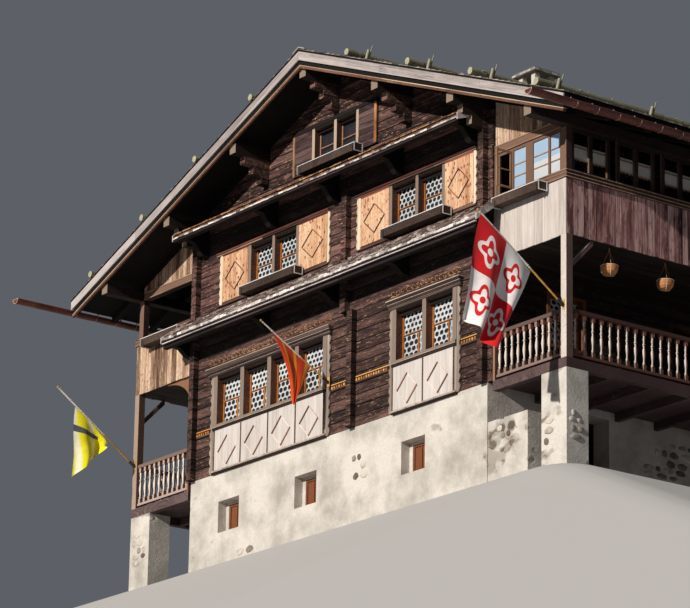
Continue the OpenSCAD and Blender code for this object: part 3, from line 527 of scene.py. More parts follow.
# ---------------------------------------------------------------- materials
# LOG's after bands are painted shade: near black on the front faces of the logs under the lower and the upper pent
# roof, and on the +x faces from the foot of the logs up to the right gallery floor.
LOG = dict(dark=(15, 9, 9), mid=(64, 43, 41), light=(134, 100, 92), vary=0.16, crack=0.8, bump=1.0, rough=0.8, fine=1.4,
           mottle=0.6, fleck=((196, 156, 116), 0.8), seam=0.013,
           after=[("z", 4.66, 4.78, (10, 9, 10), 0.72, 5.26, 5.30, ("y", -1.0)), ("z", 6.76, 6.88, (10, 9, 10), 0.72, 7.36, 7.42, ("y", -1.0)),
                  ("z", 2.20, 2.40, (14, 11, 11), 0.75, 4.52, 4.58, ("x", 1.0))])
c1 = 2.35 / 11
c2 = 2.4 / 11
log_x1 = wood("log_x_lower", axis="x", pitch=c1, pax="z", poff=HZ, **LOG)
log_x2 = wood("log_x_upper", axis="x", pitch=c2, pax="z", poff=HZ + 2.35, **LOG)
log_x3 = wood("log_x_gable", axis="x", pitch=0.2185, pax="z", poff=HZ + 4.75, **{**LOG, "dark": (24, 14, 14), "mid": (62, 42, 40)})
log_y1 = wood("log_y_lower", axis="y", pitch=c1, pax="z", poff=HZ, **LOG)
log_y2 = wood("log_y_upper", axis="y", pitch=0.199, pax="z", poff=HZ + 2.35, **LOG)
whitewash = plaster("whitewash", 0.30)
whitewash_bare = plaster("whitewash_bare", 0.40)
concrete = plaster("concrete", 0.0, base=(150, 147, 141), stain=(120, 117, 112))
floor_wood = wood("floor_wood", (96, 66, 44), (140, 100, 68), (176, 134, 96), "y", pitch=0.16, pax="x", seam=0.006)
# near-black wood: painted shade, coloured as dark as the shade under the eaves; worn by the roof slabs, rafters, pent
# roofs and a thin line above the barge boards
shade_black_wood = wood("shade_black_wood", (7, 5, 5), (15, 11, 10), (28, 21, 18), "y", crack=0.5)
# purlins: dark as painted shade under the roof, with the front (-y) end faces painted lighter as sunlit
purlin_wood = wood("purlin_wood", (16, 11, 10), (36, 25, 22), (66, 48, 42), "y", crack=0.5, mottle=0.6, side=[("y", -1.0, (170, 150, 130), 0.62)])
beam_wood = wood("beam_wood", (30, 20, 17), (66, 46, 38), (110, 84, 68), "y", crack=0.6)
frame_wood = wood("frame_wood", (36, 22, 22), (74, 49, 42), (126, 92, 76), "z", crack=0.45, mottle=0.6, fleck=((196, 124, 64), 0.7),
                  side=[("y", -1.0, (140, 124, 113), 0.82, -4.99)], grade=[("y", -4.955, -4.925, (132, 76, 42), 0.65)])
attic_frame = wood("attic_frame", (44, 28, 26), (80, 54, 46), (120, 88, 74), "z", crack=0.3,
                   mottle=0.3, side=[("y", -1.0, (190, 170, 146), 0.85, -4.99)], grade=[("y", -4.955, -4.935, (88, 40, 40), 0.6)])
sash_wood = wood("sash_wood", (84, 48, 24), (164, 100, 46), (214, 148, 78), "z", crack=0.35, mottle=0.5)
panel_paint = wood("panel_paint", (170, 160, 156), (197, 189, 184), (216, 210, 206), "z", crack=0.22, tint=True, vary=0.05, bump=0.35)
pine = wood("pine", (158, 110, 78), (206, 162, 126), (232, 200, 168), "z", tint=True, vary=0.14, crack=0.35, knots=2.6, knot_col=(156, 62, 34), knot_r=0.09, bump=0.35, mottle=0.45,
            fleck=((150, 58, 34), 0.95, 26.0))
dark_pine = wood("dark_pine", (40, 28, 24), (74, 54, 46), (106, 82, 70), "x", tint=True, crack=0.5)
pale_wood = wood("pale_wood", (176, 156, 134), (214, 198, 176), (240, 228, 212), "z", crack=0.3, bump=0.35, vary=0.18)
# posts: the +x faces are painted darker as shade
post_wood = wood("post_wood", (150, 136, 128), (202, 190, 182), (232, 222, 216), "z", crack=0.4, bump=0.35, mottle=0.3,
                 grade=[("x", 1.0, -1.0, (146, 120, 100), 0.75), ("x", -6.45, -6.40, (132, 92, 66), 0.95, -3.0, -2.9),
                        ("x", 3.0, 3.1, (138, 100, 74), 0.9, 5.5, 5.6)],
                 side=[("x", 1.0, (82, 52, 44), 0.9)])
# decks: +x faces painted darker as shade; deck boards: undersides painted near black as shade
deck_wood = wood("deck_wood", (44, 32, 33), (84, 66, 66), (136, 116, 114), "x", crack=0.5, mottle=0.4, side=[("x", 1.0, (64, 46, 44), 0.7)])
deck_board = wood("deck_board", (84, 70, 62), (124, 106, 94), (160, 142, 128), "y", pitch=0.14, pax="x", seam=0.006, side=[("z", -1.0, (20, 15, 14), 0.9)])
bright_board = wood("bright_board", (160, 149, 142), (190, 180, 174), (212, 203, 198), "z", tint=True, vary=0.10, crack=0.28, bump=0.35, mottle=0.25)
brown_board = wood("brown_board", (52, 30, 32), (152, 104, 104), (212, 174, 168), "z", tint=True, vary=0.34, crack=0.9, bump=0.7, mottle=0.6, fine=1.3,
                   knots=2.0, knot_col=(52, 28, 24), fleck=((226, 176, 160), 0.8, 1.6))
tan_board = wood("tan_board", (74, 48, 36), (170, 136, 112), (224, 198, 170), "z", tint=True, vary=0.30, crack=0.75, bump=0.6, mottle=0.45, fine=1.7,
                 knots=2.6, knot_col=(70, 40, 26), fleck=((86, 56, 40), 0.8, 12.0))
barge_wood = wood("barge_wood", (112, 102, 102), (160, 150, 150), (192, 184, 184), "x", crack=0.5, bump=0.4, mottle=0.35, slope=0.404)
strip_wood = wood("strip_wood", (48, 30, 26), (92, 60, 48), (160, 120, 96), "x", crack=0.4, mottle=0.6, slope=0.404)
gutter_metal = metal("gutter_metal", (58, 26, 22), (96, 46, 36), (136, 76, 60))
mossy_wood = wood("mossy_wood", (74, 70, 52), (128, 124, 100), (186, 182, 160), "y", crack=0.4, bump=0.9, mottle=0.5, side=[("y", -1.0, (196, 188, 164), 0.55)])
slab = stone("slab_stone", (118, 114, 108), (158, 153, 146), (190, 186, 180))
box_wood = wood("box_wood", (32, 24, 22), (60, 46, 40), (104, 86, 76), "x", crack=0.5, mottle=0.5)
clay = metal("clay", (138, 82, 46), (184, 120, 72), (214, 156, 104), rough=0.7)
pole_wood = wood("pole_wood", (160, 112, 44), (204, 156, 70), (232, 194, 112), "y", crack=0.15, rough=0.5)
# leaded glass tinted near black: painted shade standing for the dark rooms behind
pane = glass("leaded_glass", (0.030, 0.036, 0.044, 1), 0.60, 0.08)
def gallery_pane(name):
    """Clear glass with painted light: the front lights are coloured with the pale sky as a painted reflection, the side
    lights with the dark room as painted shade.
    """
    s = Shader(name, 0.08, 0.6)
    w = s.noise(s.scaled(s.co, (3, 3, 2)), 2.0, 0.5)
    front = s.step(s.math("MULTIPLY", s.normal()[1], -1.0), 0.5, 0.6)
    sky = s.mix(w, (168, 200, 228), (216, 226, 236))
    s.color(s.mix(front, (16, 18, 22), sky))
    s.b.inputs["Alpha"].default_value = 0.12
    s.b.inputs["IOR"].default_value = 1.5
    s.bump(w, 0.05, 0.01)
    return s.m


pane_sky = gallery_pane("gallery_glass")
soil_m = soil("soil")
shingle_m = shingle("shingle", (70, 62, 56), (126, 116, 108), (184, 176, 168), 0.5)
stone_m = stone("bare_stone", (98, 90, 82), (156, 146, 134), (206, 198, 186))

for n in ("lower_front_wall", "lower_back_wall"):
    wear(n, log_x1)
for n in ("upper_front_wall", "upper_back_wall"):
    wear(n, log_x2)
for n in ("attic_front_gable", "attic_back_gable"):
    wear(n, log_x3)
for n in ("lower_left_wall", "lower_right_wall"):
    wear(n, log_y1)
for n in ("upper_left_wall", "upper_right_wall"):
    wear(n, log_y2)
for n in ("foundation_front", "foundation_back", "foundation_left", "foundation_right"):
    wear(n, whitewash)
wear("veranda_piers", whitewash_bare)
wear("basement_floor", concrete)
for n in ("living_floor", "upper_floor", "attic_floor"):
    wear(n, floor_wood)
wear("basement_windows", frame_wood)
wear("gallery_floors", deck_board)
wear("lower_pent_roof", shade_black_wood)
wear("upper_pent_roof", shade_black_wood)
wear("rafters", shade_black_wood)
wear("purlins", purlin_wood)
wear("roof_left", shade_black_wood)
wear("roof_right", shade_black_wood)
wear("veranda_decks", deck_wood)
wear("lower_windows", frame_wood)
wear("upper_windows", frame_wood)
wear("attic_windows", attic_frame)
wear("window_glass", pane)
wear("gallery_glass", pane_sky)
wear("drop_panels", panel_paint)
wear("carved_trim", wood("trim_wood", (44, 30, 25), (96, 74, 62), (168, 148, 132), "x", crack=0.5))
wear("upper_shutters", pine)
wear("attic_shutters", dark_pine)
wear("side_doors", wood("door_wood", (60, 40, 30), (100, 70, 52), (140, 104, 80), "z", pitch=0.14, pax="y", seam=0.006))
wear("veranda_posts", post_wood)
# turned railings: the front (-y) faces are painted near white as a painted highlight where the sun falls, over darker
# brown wood
wear("right_railing", wood("right_turned", (62, 42, 36), (106, 78, 68), (150, 118, 104), "z", crack=0.3, bump=0.35,
     side=[("y", -1.0, (226, 216, 208), 0.85)],
     after=[("z", 3.066, 3.070, (72, 50, 44), 0.92), ("z", 2.972, 2.976, (128, 80, 60), 0.85, 3.066, 3.070),
            ("z", -9.0, -8.0, (100, 66, 54), 0.8, 2.404, 2.408)]))
wear("left_railing", wood("left_turned", (66, 46, 38), (112, 86, 72), (156, 128, 112), "z", crack=0.3, bump=0.35,
     side=[("y", -1.0, (236, 226, 218), 0.85)],
     after=[("z", 2.916, 2.920, (104, 74, 58), 0.9), ("z", 2.822, 2.826, (132, 92, 72), 0.6, 2.916, 2.920),
            ("z", -9.0, -8.0, (124, 84, 66), 0.6, 2.254, 2.258)]))
wear("gallery_beams", wood("gallery_beam", (30, 20, 18), (62, 43, 37), (104, 80, 68), "z", crack=0.5, mottle=0.3,
     side=[("y", -1.0, (150, 118, 98), 0.55)]))
# gallery frames: the front (-y) faces are painted lighter as sunlit, the other faces left dark brown as painted shade
wear("gallery_windows", wood("gallery_frame", (14, 10, 9), (34, 24, 21), (74, 54, 46), "z", crack=0.4,
     side=[("y", -1.0, (128, 98, 80), 0.75)]))
wear("verge_boards", barge_wood)
wear("gutters", gutter_metal)
wear("snow_logs", mossy_wood)
wear("chimney_stack", whitewash)
wear("chimney_cap", slab)
wear("flower_boxes", box_wood)
wear("hanging_pots", clay)
wear("flagpoles", pole_wood)

# ---------------------------------------------------------------- roofs
RIDGE, PITCH, EAVE = 7.77, 0.404, 8.09
SLOPE = math.sqrt(1 + PITCH * PITCH)


def roof_z(x):
    return RIDGE - PITCH * abs(x)


def lay_shingles(b, n_rows, start, step, cover, a0, a1, at, keep=lambda u, a, w: True, thick=0.020, wmin=0.09, wmax=0.18, jit=0.012):
    """Rows of wedges from the eave up. at(u, a, h): point u up the slope, a along it, h above it."""
    for i in range(n_rows):
        u0 = start + i * step
        a = a0 - b.r.uniform(0, 0.08)
        while a < a1:
            w = b.r.uniform(wmin, wmax)
            lo, hi = max(a, a0), min(a + w, a1)
            if hi - lo > 0.03 and keep(u0, lo, hi):
                j = b.r.uniform(-jit, jit)
                t = thick * b.r.uniform(0.7, 1.25)
                g = b.r.uniform(0.002, 0.006)
                u1 = u0 + cover
                q = [at(u0 + j, lo, 0.0), at(u0 + j, hi - g, 0.0), at(u1, hi - g, -0.002), at(u1, lo, -0.002),
                     at(u0 + j, lo, t + 0.006), at(u0 + j, hi - g, t + 0.006), at(u1, hi - g, 0.003), at(u1, lo, 0.003)]
                b.hexa(q)
            a += w


for sgn, name, node in ((1, "shingles_right", "roof_right"), (-1, "shingles_left", "roof_left")):
    b = Build(11 if sgn > 0 else 12)
    length = EAVE * SLOPE
    rows = int(length / 0.18)

    def at(u, a, h):
        x = EAVE + 0.03 - u / SLOPE
        return (sgn * x, a if sgn > 0 else a, roof_z(x) + h)

    def keep(u, lo, hi):
        x = EAVE + 0.03 - u / SLOPE
        if x < 0.06:
            return False
        return not (sgn > 0 and 0.66 < x < 1.40 and hi > 4.08 and lo < 4.64)
    if sgn < 0:
        def flip(at0):
            return lambda u, a, h: at0(u, 10.0 - a, h)
        at = flip(at)
    lay_shingles(b, rows, 0.0, length / rows, 0.20, -0.985, 10.985, at, keep)
    b.done(name, [shingle_m])

b = Build(13)
for sgn in (1, -1):
    y = -0.99
    while y < 10.95:
        w = min(b.r.uniform(1.6, 2.4), 10.99 - y)
        for (x0, x1, h0, h1) in ((0.0, 0.20, 0.030, 0.055),):
            z0, z1 = roof_z(x0), roof_z(x1)
            p = [(sgn * x0, y, z0 + h0), (sgn * x1, y, z1 + h0), (sgn * x1, y + w - 0.006, z1 + h0), (sgn * x0, y + w - 0.006, z0 + h0),
                 (sgn * x0, y, z0 + h1), (sgn * x1, y, z1 + h1), (sgn * x1, y + w - 0.006, z1 + h1), (sgn * x0, y + w - 0.006, z0 + h1)]
            if sgn < 0:
                p = [p[i] for i in (1, 0, 3, 2, 5, 4, 7, 6)]
            b.hexa(p)
        y += w
b.done("ridge_boards", [wood("ridge_wood", (92, 84, 78), (140, 132, 124), (184, 176, 168), "y", tint=True, crack=0.5)])

# barge boards, and the narrow lit board under the verge rafter
barge = wood("barge_board", (122, 112, 110), (168, 158, 156), (200, 192, 190), "x", tint=True, vary=0.16, crack=0.45, bump=0.5, mottle=0.3, slope=PITCH)
cream_line = wood("cream_line", (140, 112, 88), (190, 164, 136), (222, 204, 180), "x", tint=True, crack=0.4, slope=PITCH)
b = Build(14)


def along(b, sgn, x0, x1, y0, y1, d0, d1, t=None, m=0):
    """A board that follows the roof slope, its edges d0 and d1 below the roof surface."""
    p = []
    for d in (d1, d0):
        for x, y in ((x0, y0), (x1, y0), (x1, y1), (x0, y1)):
            p.append((sgn * x, y, roof_z(x) - d))
    if sgn < 0:
        p = [p[i] for i in (1, 0, 3, 2, 5, 4, 7, 6)]
    b.hexa(p, t, m)


for sgn in (1, -1):
    for back in (False, True):
        cuts = [0.001, 2.9 + b.r.uniform(-.3, .3), 5.6 + b.r.uniform(-.3, .3), 8.09]
        for i in range(3):
            t = b.r.random()
            y0, y1 = (-0.98, -0.952) if not back else (10.952, 10.98)
            along(b, sgn, cuts[i], cuts[i + 1] - 0.003, y0, y1, 0.035, 0.225, t)
            y0, y1 = (-1.0, -0.9525) if not back else (10.9525, 11.0)
            along(b, sgn, cuts[i], cuts[i + 1] - 0.003, y0, y1, 0.012, 0.034, 0.1, 2)
            y0, y1 = (-0.985, -0.98) if not back else (10.98, 10.985)
            along(b, sgn, cuts[i], cuts[i + 1] - 0.003, y0, y1, 0.205, 0.225, 0.9)
            y0, y1 = (-0.945, -0.90) if not back else (10.90, 10.945)
            along(b, sgn, cuts[i], min(cuts[i + 1], 8.08) - 0.003, y0, y1, 0.336, 0.385, b.r.random(), 1)
            along(b, sgn, cuts[i], min(cuts[i + 1], 8.08) - 0.003, y0, y1, 0.320, 0.335, b.r.random(), 3)
b.done("barge_boards", [barge, strip_wood, shade_black_wood, cream_line], ["verge_boards"])


# ---------------------------------------------------------------- pent roofs
def pent_shingles(name, x0, x1, reach, top, rise, rows, seed, mat, lean=0.035):
    b = Build(seed)
    ln = math.hypot(reach, rise)

    def at(u, a, h):
        f = (u - lean) / ln
        return (a, -reach + f * reach, top + f * rise + h)

    def clear(u, lo, hi):
        f = (u - lean) / ln
        y = -reach + f * reach
        if y > -0.30:                            # log heads stand through the slope
            for h0, h1 in ((4.60, 4.80), (-4.80, -4.60), (0.35, 0.56)):
                if hi > h0 and lo < h1:
                    return False
        return True
    step = (ln + lean - 0.02) / rows
    lay_shingles(b, rows, 0.0, step, step + 0.012, x0, x1, at, clear, thick=0.018, wmin=0.07, wmax=0.16, jit=0.016)
    return b.done(name, [mat])


pent_m = shingle("pent_shingle", (50, 38, 36), (104, 86, 82), (190, 176, 168), 0.34, "y")
pent_m2 = shingle("pent_shingle_warm", (66, 42, 34), (126, 88, 64), (200, 156, 112), 0.3, "y")
pent_shingles("lower_pent_shingles", -5.15, 5.15, 0.585, 3.055, 0.45, 5, 21, pent_m)
pent_shingles("upper_pent_shingles", -4.70, 4.69, 0.68, 5.14, 0.25, 5, 22, pent_m2)

white_wood = wood("white_wood", (92, 74, 70), (200, 192, 186), (238, 234, 230), "x", tint=True, vary=0.34, crack=0.5, bump=0.5, mottle=0.6)
umber_wood = wood("umber_wood", (42, 26, 20), (84, 56, 44), (150, 112, 86), "x", tint=True, crack=0.4, mottle=0.6)
purple_wood = wood("purple_wood", (22, 15, 16), (44, 32, 33), (78, 60, 60), "x", tint=True, crack=0.4)
lavender_wood = wood("lavender_wood", (110, 98, 100), (168, 156, 156), (206, 198, 196), "x", tint=True, vary=0.3, crack=0.5, mottle=0.6)
ochre_wood = wood("ochre_wood", (120, 70, 26), (196, 130, 54), (236, 184, 104), "x", tint=True, crack=0.35, mottle=0.4)
b = Build(23)


def run_x(b, x0, x1, y0, y1, z0, z1, m, lmin=1.7, lmax=2.7, jz=0.004, jy=0.003):
    x = x0
    while x < x1 - 0.02:
        w = b.r.uniform(lmin, lmax)
        if x1 - (x + w) < lmin * 0.47:
            w = x1 - x
        d, e = b.r.uniform(-jz, jz), b.r.uniform(-jy, jy)
        b.box(x, x + w - 0.004, y0 + e, y1, z0 + d, z1 + d, None, m)
        x += w


# lower: pale fascia, brown fillet, thin lower lath
run_x(b, -5.15, 5.15, -0.603, -0.586, 2.974, 3.040, 0, 0.07, 0.17, 0.007, 0.005)
run_x(b, -5.15, 5.15, -0.597, -0.586, 2.945, 2.968, 2)
run_x(b, -5.13, 5.13, -0.598, -0.5555, 2.906, 2.926, 3)
run_x(b, -5.13, 5.13, -0.592, -0.5555, 2.884, 2.905, 2)
run_x(b, -5.09, 5.09, -0.585, -0.5555, 2.802, 2.838, 2)
# upper: dark top lath, grey-white fascia, brown fillet
run_x(b, -4.70, 4.69, -0.700, -0.681, 5.045, 5.076, 0, 0.07, 0.17, 0.005, 0.003)
run_x(b, -4.70, 4.69, -0.695, -0.681, 5.082, 5.108, 1, 0.07, 0.17, 0.003, 0.003)
run_x(b, -4.68, 4.67, -0.692, -0.650, 4.994, 5.012, 2)
run_x(b, -4.66, 4.64, -0.022, -0.001, 5.498, 5.526, 4)
# sloping end boards
for (xe, reach, top, rise, d) in ((5.15, 0.585, 3.05, 0.45, 0.125), (4.69, 0.68, 5.135, 0.25, 0.125)):
    for sg in (1, -1):
        x = xe if sg > 0 else (-5.15 if xe > 5 else -4.70)
        xa, xb = (x, x + 0.022) if sg > 0 else (x - 0.022, x)
        yb = -0.012
        zb = top + rise * (1 + yb / reach)
        b.hexa([(xa, -reach - 0.015, top - d), (xb, -reach - 0.015, top - d), (xb, yb, zb - d), (xa, yb, zb - d),
                (xa, -reach - 0.015, top + 0.012), (xb, -reach - 0.015, top + 0.012), (xb, yb, zb + 0.012), (xa, yb, zb + 0.012)], None, 0)
b.done("pent_edges", [white_wood, umber_wood, purple_wood, lavender_wood, ochre_wood])

# ---------------------------------------------------------------- gallery boards
def ptop(x):
    return 7.45 - PITCH * x


def gallery(sgn, name, node, mats, seed):
    """Upright boards of one gallery: m 0 front and back parapet, 1 long side, 2 triangles."""
    b = Build(seed)

    def fb(y0, y1, wmin, wmax):
        def put(b, a, c):
            j = b.r.uniform(-0.003, 0.003)
            lo, hi = (a, c) if sgn > 0 else (-c, -a)
            e = b.r.uniform(-0.006, 0.006)
            b.box(lo, hi, y0 + j, y1 + j, 2.322 + e, 3.399, None, 0)
        planks(b, 4.911, 6.989, wmin, wmax, put, 0.003)
    fb(0.021, 0.044, 0.15, 0.24)
    fb(9.956, 9.979, 0.15, 0.24)

    def put_side(b, a, c):
        j = b.r.uniform(-0.004, 0.003)
        x0, x1 = 6.967 + j, 6.989 + j
        if sgn < 0:
            x0, x1 = -x1, -x0
        e = b.r.uniform(-0.010, 0.010)
        b.box(x0, x1, a, c, 2.330 + e, 3.399, None, 1)
    planks(b, 0.048, 9.952, 0.075, 0.19, put_side, 0.006)
    for y0, y1 in ((0.061, 0.084), (9.916, 9.939)):
        def put_tri(b, a, c):
            j = b.r.uniform(-0.003, 0.003)
            za, zc = ptop(a) - 0.008, ptop(c) - 0.008
            lo, hi, zl, zh = (a, c, za, zc) if sgn > 0 else (-c, -a, zc, za)
            zb = 4.570
            b.hexa([(lo, y0 + j, zb), (hi, y0 + j, zb), (hi, y1 + j, zb), (lo, y1 + j, zb),
                    (lo, y0 + j, zl), (hi, y0 + j, zh), (hi, y1 + j, zh), (lo, y1 + j, zl)], None, 2)
        planks(b, 4.921, 6.854, 0.11, 0.16, put_tri, 0.007)
    # rails behind the boards
    xr = (6.940, 6.9655) if sgn > 0 else (-6.9655, -6.940)
    for z in (2.52, 3.15):
        b.box(xr[0], xr[1], 0.19, 9.81, z, z + 0.07, None, 1)
    b.done(name, mats, [node])


gallery(1, "right_gallery_planks", "right_gallery_boards", [bright_board, brown_board, tan_board], 31)
gallery(-1, "left_gallery_planks", "left_gallery_boards", [tan_board, brown_board, tan_board], 32)

# mouldings on the sill beams, and on the gallery lintels
b = Build(33)
line_wood = wood("line_wood", (92, 66, 54), (136, 104, 86), (184, 154, 132), "x", tint=True, crack=0.4, mottle=0.5)
for sgn in (1, -1):
    for z0, z1, d in ((3.402, 3.416, 0.012), (3.466, 3.480, 0.010), (3.534, 3.549, 0.014)):
        xa, xb = 4.972, 7.018
        lo, hi = (xa, xb) if sgn > 0 else (-xb, -xa)
        b.box(lo, hi, -d, 0.001, z0, z1)
        b.box(lo, hi, 9.999, 10.0 + d, z0, z1)
        xs = (7.019, 7.020 + d) if sgn > 0 else (-7.020 - d, -7.019)
        b.box(xs[0], xs[1], 0.0, 10.0, z0, z1)
    for z0, z1 in ((4.402, 4.420), (4.548, 4.566)):
        lo, hi = (4.915, 6.81) if sgn > 0 else (-6.81, -4.915)
        b.box(lo, hi, 0.033, 0.046, z0, z1)
        b.box(lo, hi, 9.954, 9.967, z0, z1)
b.done("sill_mouldings", [line_wood])

# glazing bars of the right gallery
GALLERY_POSTS = (0.095, 3.365, 6.660, 9.905)
b = Build(34)
for i in range(8):
    y = 0.245 + i * 1.105
    for (a, c) in ((y, y + 0.355), (y + 0.445, y + 0.790)):
        if any(a < v + 0.095 and c > v - 0.09 for v in GALLERY_POSTS):
            continue
        for z in (3.822, 4.054):
            b.box(6.918, 6.934, a, c, z - 0.010, z + 0.010, 0.4)
for (xa, xc) in ((5.45, 5.80), (6.01, 6.44), (6.50, 6.775)):
    for z in (3.822, 4.054):
        b.box(xa, xc, 0.068, 0.0795, z - 0.010, z + 0.010, 0.4)
        b.box(xa, xc, 9.9205, 9.932, z - 0.010, z + 0.010, 0.4)
# the open leaf of the first casement
b.box(5.385, 5.400, -0.30, 0.055, 3.600, 3.640, 0.5)
b.box(5.385, 5.400, -0.30, 0.055, 4.295, 4.335, 0.5)
b.box(5.385, 5.400, -0.30, -0.262, 3.640, 4.295, 0.5)
b.box(5.385, 5.400, 0.018, 0.055, 3.640, 4.295, 0.5)
b.box(5.386, 5.399, -0.262, 0.018, 3.945, 3.965, 0.5)
b.done("gallery_bars", [wood("bar_wood", (110, 76, 52), (158, 118, 86), (196, 160, 126), "z", tint=True, crack=0.25)])

# ---------------------------------------------------------------- leaded panes
lead = wood("lead_lattice", (112, 114, 118), (196, 199, 200), (236, 238, 236), "z", crack=0.15, bump=0.2, rough=0.6, mottle=0.7)


def lattice(b, put, x0, x1, z0, z1, px=0.128, pz=0.105, rx=0.053, rz=0.044, depth=0.006):
    """A plate of staggered oval openings between x0..x1 and z0..z1. put(u, v, d) places a point of the plate."""
    nx = max(1, round((x1 - x0) / px))
    nz = max(2, round((z1 - z0) / pz))
    cx, cz = (x1 - x0) / nx, (z1 - z0) / nz
    out = [(-1, -1), (-0.33, -1), (0.33, -1), (1, -1), (1, -0.33), (1, 0.33), (1, 1), (0.33, 1), (-0.33, 1), (-1, 1), (-1, 0.33), (-1, -0.33)]
    for j in range(nz):
        odd = j % 2
        for i in range(nx + odd):
            mx = x0 + (i + 0.5 - 0.5 * odd) * cx
            mz = z0 + (j + 0.5) * cz
            r1 = rx * b.r.uniform(0.9, 1.08)
            r2 = rz * b.r.uniform(0.9, 1.08)
            o, n = [], []
            for (u, v) in out:
                a = math.atan2(v, u)
                o.append((min(max(mx + u * cx / 2, x0), x1), mz + v * cz / 2))
                n.append((min(max(mx + math.cos(a) * r1, x0), x1), mz + math.sin(a) * r2))
            verts = [put(p[0], p[1], 0.0) for p in o] + [put(p[0], p[1], 0.0) for p in n]
            verts += [put(p[0], p[1], depth) for p in o] + [put(p[0], p[1], depth) for p in n]
            faces = []
            for k in range(12):
                q = (k + 1) % 12
                pts = (o[k], o[q], n[q], n[k])
                area = abs(sum(pts[i2][0] * pts[(i2 + 1) % 4][1] - pts[(i2 + 1) % 4][0] * pts[i2][1] for i2 in range(4)))
                if area < 1e-6:
                    continue
                faces.append((k, q, 12 + q, 12 + k))
                faces.append((24 + q, 24 + k, 36 + k, 36 + q))
                if math.dist(n[k], n[q]) > 1e-5:
                    faces.append((12 + k, 12 + q, 36 + q, 36 + k))
                if math.dist(o[k], o[q]) > 1e-5:
                    faces.append((k, 24 + k, 24 + q, q))
            b.solid(verts, faces, b.r.random())


def panes(x0, count, light, post, sill, head):
    """Clear glass of each light as part.scad has it: (x0, x1, z0, z1 of the lower, z0, z1 of the upper)."""
    out = []
    z0, z1 = sill + 0.045, head - 0.050
    zt = z0 + (z1 - z0) * 0.52
    for i in range(count):
        x = x0 + post + i * (light + post)
        out.append((x + 0.045, x + light - 0.045, z0 + 0.045, zt - 0.015, zt + 0.015, z1 - 0.045))
    return out


GROUPS = {
    "LL": (-3.985, 4, 0.800, 0.130, 0.967, 2.050, 0.115),
    "LR": (1.960, 2, 0.800, 0.120, 0.967, 2.050, 0.115),
    "UL": (-2.885, 2, 0.730, 0.090, 3.600, 4.600, 0.112),
    "UR": (1.800, 2, 0.730, 0.090, 3.600, 4.600, 0.112),
    "AG": (-0.770, 2, 0.640, 0.090, 5.640, 6.510, 0.100),
}
BACK = [(x, s, h) for x in (-2.9, 0.0, 2.9) for s, h in ((0.967, 2.050), (3.500, 4.500))] + [(0.0, 5.640, 6.510)]
SIDE = [(y, s, h) for y in (1.9, 8.1) for s, h in ((0.967, 2.050), (3.500, 4.300))]

b = Build(41)
stiles = Build(42)
sky = Build(43)
for key, (x0, n, light, post, sill, head, st) in GROUPS.items():
    yl = st + 0.008
    for (a, c, z0, z1, z2, z3) in panes(x0, n, light, post, sill, head):
        put = lambda u, v, d: (u, yl + d, v)
        if key[0] == "L":
            m = a + (c - a) * 0.64
            lattice(b, put, a, m - 0.022, z0, z1, 0.148, 0.118, 0.061, 0.050)
            lattice(b, put, m + 0.022, c, z0, z1, 0.120, 0.118, 0.049, 0.050)
            lattice(b, put, a, c, z2, z3, 0.118, 0.094, 0.046, 0.038)
            stiles.box(m - 0.022, m + 0.022, st - 0.012, st + 0.0172, z0, z1)
            sky.box(m + 0.023, c - 0.001, st + 0.0145, st + 0.0172, z0 + 0.001, z1 - 0.001)
        elif key[0] == "U":
            lattice(b, put, a, c, z0, z1)
            lattice(b, put, a, c, z2, z3)
for (x, s, h) in BACK:
    for (a, c, z0, z1, z2, z3) in panes(x - 0.48, 2, 0.36, 0.08, s, h):
        put = lambda u, v, d: (u, 10.0 - 0.098 - d, v)
        lattice(b, put, a, c, z0, z1)
        lattice(b, put, a, c, z2, z3)
for (y, s, h) in SIDE:
    for (a, c, z0, z1, z2, z3) in panes(-0.48, 2, 0.36, 0.08, s, h):
        for sg in (1, -1):
            put = lambda u, v, d: (sg * (4.78 - 0.098 - d), y + u, v)
            lattice(b, put, a, c, z0, z1)
            lattice(b, put, a, c, z2, z3)
b.done("leaded_lattice", [lead])
stiles.done("inner_stiles", [sash_wood])
# blue glass over the right part of each lower light: a painted sky reflection
sky_m = glass("sky_reflection_pane", (0.30, 0.48, 0.62, 1), 0.7, 0.1)
sky.done("sky_reflection_panes", [sky_m])

# transom laths and the lit bead round each sash
b = Build(44)
for key, (x0, n, light, post, sill, head, st) in GROUPS.items():
    z0, z1 = sill + 0.045, head - 0.050
    zt = z0 + (z1 - z0) * 0.52
    for i in range(n):
        x = x0 + post + i * (light + post)
        m = 1 if key[0] == "A" else 0
        b.box(x + 0.004, x + light - 0.004, st - 0.016, st - 0.0005, zt - 0.004, zt + 0.016, 0.5, m)
        b.box(x + 0.004, x + 0.034, st - 0.010, st - 0.0005, z0 + 0.004, z1 - 0.004, 0.5, m)
        b.box(x + light - 0.034, x + light - 0.004, st - 0.010, st - 0.0005, z0 + 0.004, z1 - 0.004, 0.5, m)
b.done("sash_beads", [sash_wood, wood("attic_sash", (84, 56, 40), (150, 112, 82), (190, 156, 124), "z", crack=0.3, mottle=0.4)])
# painted sky reflection on the front panes of the right gallery, with a paler painted reflection low in the two right
# lights
b = Build(46)
for (xa, xc) in ((5.45, 5.80), (6.01, 6.44), (6.50, 6.775)):
    low = 3.945 if xa > 6 else 3.60
    b.box(xa - 0.004, xc + 0.004, 0.0796, 0.0799, low, 4.376, 0.5, 0)
    if xa > 6:
        b.box(xa - 0.004, xc + 0.004, 0.0796, 0.0799, 3.594, low - 0.001, 0.5, 1)
b.done("gallery_sky_panes", [glass("gallery_sky", (0.42, 0.56, 0.72, 1), 0.85, 0.1), glass("gallery_pale_reflection", (0.70, 0.72, 0.74, 1), 0.8, 0.2)])

